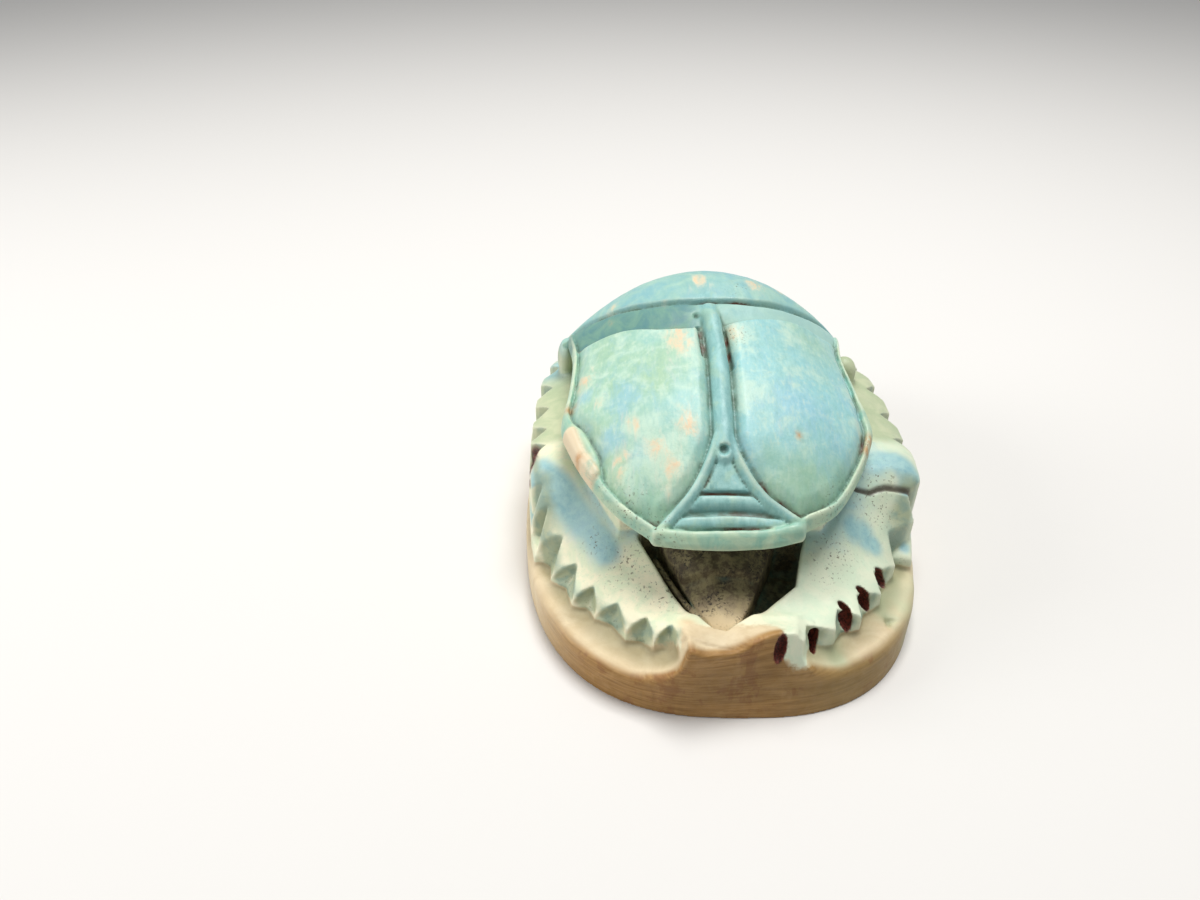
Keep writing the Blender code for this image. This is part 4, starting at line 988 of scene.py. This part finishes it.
def back_zones(at):
    """The glaze of the back, its raised strips, where it is worn, and painted shade and light on the band
    and the ribs.
    """
    plan, x, y = at.plan, at.x, at.y
    past_rim = np.where(y < plan.pronotum, plan.in_rim - plan.rim_width, 9)
    past_strip = np.minimum(plan.ridge - RIDGE_HALF_WIDTH, plan.strips - STRIP_HALF_WIDTH)
    on_strip = step(0.3, -0.3, np.minimum(past_strip, past_rim))
    triangle = step(-0.2, 0.6, plan.in_triangle) * (y < -14)
    front = step(-0.2, 0.2, y - plan.wing_front)
    band = front * step(0.1, -0.2, y - plan.pronotum)
    # Painted shade on the lower face of each rib.
    rib_shade = step(0.1, -0.8, rib_wave(y, 0.5)) * (y < RIB_CREST + RIB_PITCH * 0.6)
    lip = step(0.9, 1.3, plan.ridge) * step(0.3, 0.9, plan.in_rim)
    zones = {
        "front": front,
        # Painted shade on the band's left half.
        "band": step(-1.2, -4, x) * band,
        # Painted light on the band's right half.
        "lit_band": step(0, 3, x) * band,
        "strip": np.maximum(on_strip, triangle),
        "rim": np.maximum(step(0.2, -0.2, past_rim), step(0.9, 0.5, plan.bar)),
        "rib_shade": rib_shade * step(0.4, 0.8, plan.in_triangle) * step(0.5, 0.9, plan.bar),
        "lip": lip * np.exp(-(((y - plan.wing_front + 0.1) / 0.19) ** 2)),
        "pale": step(1.1, 0.5, plan.swelling),
        "blue": near(at, BLUE_PATCHES),
        "faded": near(at, PALE_PATCHES),
        "cream": near(at, WORN_PATCHES, STREAK_LENGTH),
        "brown": near(at, BROWN_LINES),
        "ochre": near(at, OCHRE_SPOTS) * 0.8,
    }
    zones = {name: values * at.back for name, values in zones.items()}
    green = 0.5 - 0.35 * step(-3, 2, x) + 0.45 * step(-12, -18, y)
    green = green + 0.4 * near(at, GREEN_PATCHES)
    return zones | {"back": at.back, "green": green, "leaf": near(at, LEAF_PATCHES)}


def leg_zones(at):
    """The glaze of the legs, painted shade on the notches' walls, and the dark cuts in them."""
    plan, x, y = at.plan, at.x, at.y
    sky = 0.8 * step(1.0, 7.5, plan.in_legs) * step(-20, -14, y) * (y < -5)
    sky = np.maximum(sky, near(at, SKY_PATCHES))
    for path, half_width in SKY_BANDS:
        sky = np.maximum(sky, np.exp(-((distance_to(spline(path, 6), x, y) / half_width) ** 2)))
    # Painted shade on the steep walls of the notches.
    steep = step(0.8, 0.5, at.upward)
    notch = step(0.15, 0.6, plan.in_legs) * step(2.6, 1.8, plan.in_legs) * steep
    pit_centre, pit_radii = (np.array(value) for value in PIT)
    cut = step(1.25, 1.0, np.linalg.norm((at.points - pit_centre) / pit_radii, axis=1))
    for top, bottom in SLOTS:
        cut = np.maximum(cut, step(1.15, 1.03, in_slot(x, y, at.z, top, bottom)))
    return {
        "sky": sky * (1 - 0.6 * step(0.35, 0.1, at.upward)),
        "mint": step(1, 6, x),
        "side": step(-7.0, -2.5, y),
        "notch": notch * (1 - at.back) * (1 - at.hollow) * (y < 22),
        "peach": near(at, PEACH_SPOTS) * (1 - at.back),
        "crack": step(0.3, 0.12, distance_to(CRACK, x, y)) * (at.z > 8) * (1 - at.back),
        "slot": cut,
    }


def stone_zones(at):
    """The bare stone of the base and the heel, and the dark hollow."""
    plan, x, y = at.plan, at.x, at.y
    in_wall = plan.in_base - plan.lean() * at.z
    wall_top = np.where(at.heel > 0.3, 20, plan.ledge() + 0.3)
    # The filed wall, whose tan partly stands in for the shade on it.
    filed = step(1.1, 0.4, in_wall) * step(0.2, -0.6, at.z - wall_top)
    return {
        "stone": at.stone,
        "filed": filed * step(-14, -27, y),
        "stain": near(at, STAINS),
        "mossy": step(2, 11, x) * step(-10, -18, y),
        "hollow": at.hollow,
        "tip": step(-21.5, -25.5, y),
    }


def relief_zones(at):
    """Painted shade and brown dirt in the grooves, painted shade in the deeper places, pale edges that are
    partly painted highlight, and dark specks.
    """
    plan, stone, hollow = at.plan, at.stone, at.hollow
    groove = step(0.47, 0.33, at.tight) * (at.z > 0.5)
    groove = groove * (0.25 + 0.75 * np.maximum(at.back, hollow))
    # The crease under the pronotum's edge, darkened as painted shade.
    crease = 0.9 * np.exp(-(((at.y - plan.pronotum) / 0.17) ** 2))
    crease = crease * step(0.2, 0.8, plan.in_rim) * at.back
    specks = step(0.5, 0.3, at.wide) * 0.5 * (1 - at.back)
    return {
        "groove": np.maximum(groove, crease),
        "shade": step(0.5 + 0.12 * stone, 0.2 + 0.15 * stone, at.wide) * (1 - hollow),
        # Pale edges, partly wear and partly painted highlight.
        "edge": step(0.58, 0.72, at.tight) * (1 - stone) * (1 - hollow),
        "speckle": np.maximum(specks, near(at, SPECKLED)) * (1 - stone) + 0.03,
    }


def paint_zones(mesh, form):
    """Writes the zones on the mesh, where the material reads them."""
    at = Surface(mesh, form)
    zones = back_zones(at) | leg_zones(at) | stone_zones(at) | relief_zones(at)
    for name, values in zones.items():
        if name in BLURRED_ZONES:
            values = blurred(mesh, values, BLURRED_ZONES[name])
        layer = mesh.attributes.new(name, "FLOAT", "POINT")
        layer.data.foreach_set("value", np.ascontiguousarray(np.clip(values, 0, 1), np.float32))


def build_amulet():
    form = Form(CELL)
    mesh = form.mesh()
    piece = bpy.data.objects.new("carved_scarab", mesh)
    bpy.context.scene.collection.objects.link(piece)
    mesh.calc_loop_triangles()
    decimate = piece.modifiers.new("Decimate", "DECIMATE")
    decimate.ratio = min(TRIANGLES / len(mesh.loop_triangles), 1)
    bpy.context.view_layer.update()
    graph = bpy.context.evaluated_depsgraph_get()
    reduced = bpy.data.meshes.new_from_object(piece.evaluated_get(graph))
    piece.modifiers.clear()
    piece.data = reduced
    reduced.shade_smooth()
    paint_zones(reduced, form)
    reduced.materials.append(amulet_material())
    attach(piece, "root")
    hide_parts("scarab_amulet")


# The studio

CAMERA_PLACE = (-12.8, -82.3, 68.4)
CAMERA_TILT = 35.95
CAMERA_ROLL = -0.5
CAMERA_LENS = 27
LIGHT_AIM = (0, 0, 0.01)
SKY_COLOUR = (0.93, 0.96, 1, 1)
SKY_STRENGTH = 0.28


def build_floor():
    n = Nodes("floor")
    n.shader.inputs["Base Color"].default_value = srgb("e4e1dc")
    n.shader.inputs["Roughness"].default_value = 0.8
    bpy.ops.mesh.primitive_plane_add(size=4)
    floor = bpy.context.object
    floor.name = "floor"
    floor.data.materials.append(n.material)


def build_light(name, place, size, power):
    """A square lamp turned towards the amulet, with its lengths in metres."""
    light = bpy.data.lights.new(name, "AREA")
    light.size = size
    light.energy = power
    lamp = bpy.data.objects.new(name, light)
    lamp.location = place
    lamp.rotation_euler = (Vector(LIGHT_AIM) - Vector(place)).to_track_quat("-Z", "Y").to_euler()
    bpy.context.scene.collection.objects.link(lamp)


def build_camera():
    tilt, roll = math.radians(CAMERA_TILT), math.radians(CAMERA_ROLL)
    camera = bpy.data.objects.new("camera", bpy.data.cameras.new("camera"))
    camera.data.lens = CAMERA_LENS
    camera.data.sensor_width = 36
    camera.data.clip_start = 0.005
    turn = Matrix.Rotation(math.pi / 2 - tilt, 4, "X") @ Matrix.Rotation(-roll, 4, "Z")
    camera.matrix_world = Matrix.Translation(Vector(CAMERA_PLACE) * MM) @ turn
    bpy.context.scene.collection.objects.link(camera)
    bpy.context.scene.camera = camera


def build_studio():
    scene = bpy.context.scene
    scene.view_settings.view_transform = "Standard"
    world = bpy.data.worlds.new("studio")
    world.use_nodes = True
    background = world.node_tree.nodes["Background"]
    background.inputs["Color"].default_value = SKY_COLOUR
    background.inputs["Strength"].default_value = SKY_STRENGTH
    scene.world = world
    build_light("key", (0.035, 0.06, 0.34), size=0.17, power=1.15)
    build_light("side", (-0.3, -0.02, 0.15), size=0.16, power=0.45)


build_camera()
build_studio()
build_floor()
build_amulet()
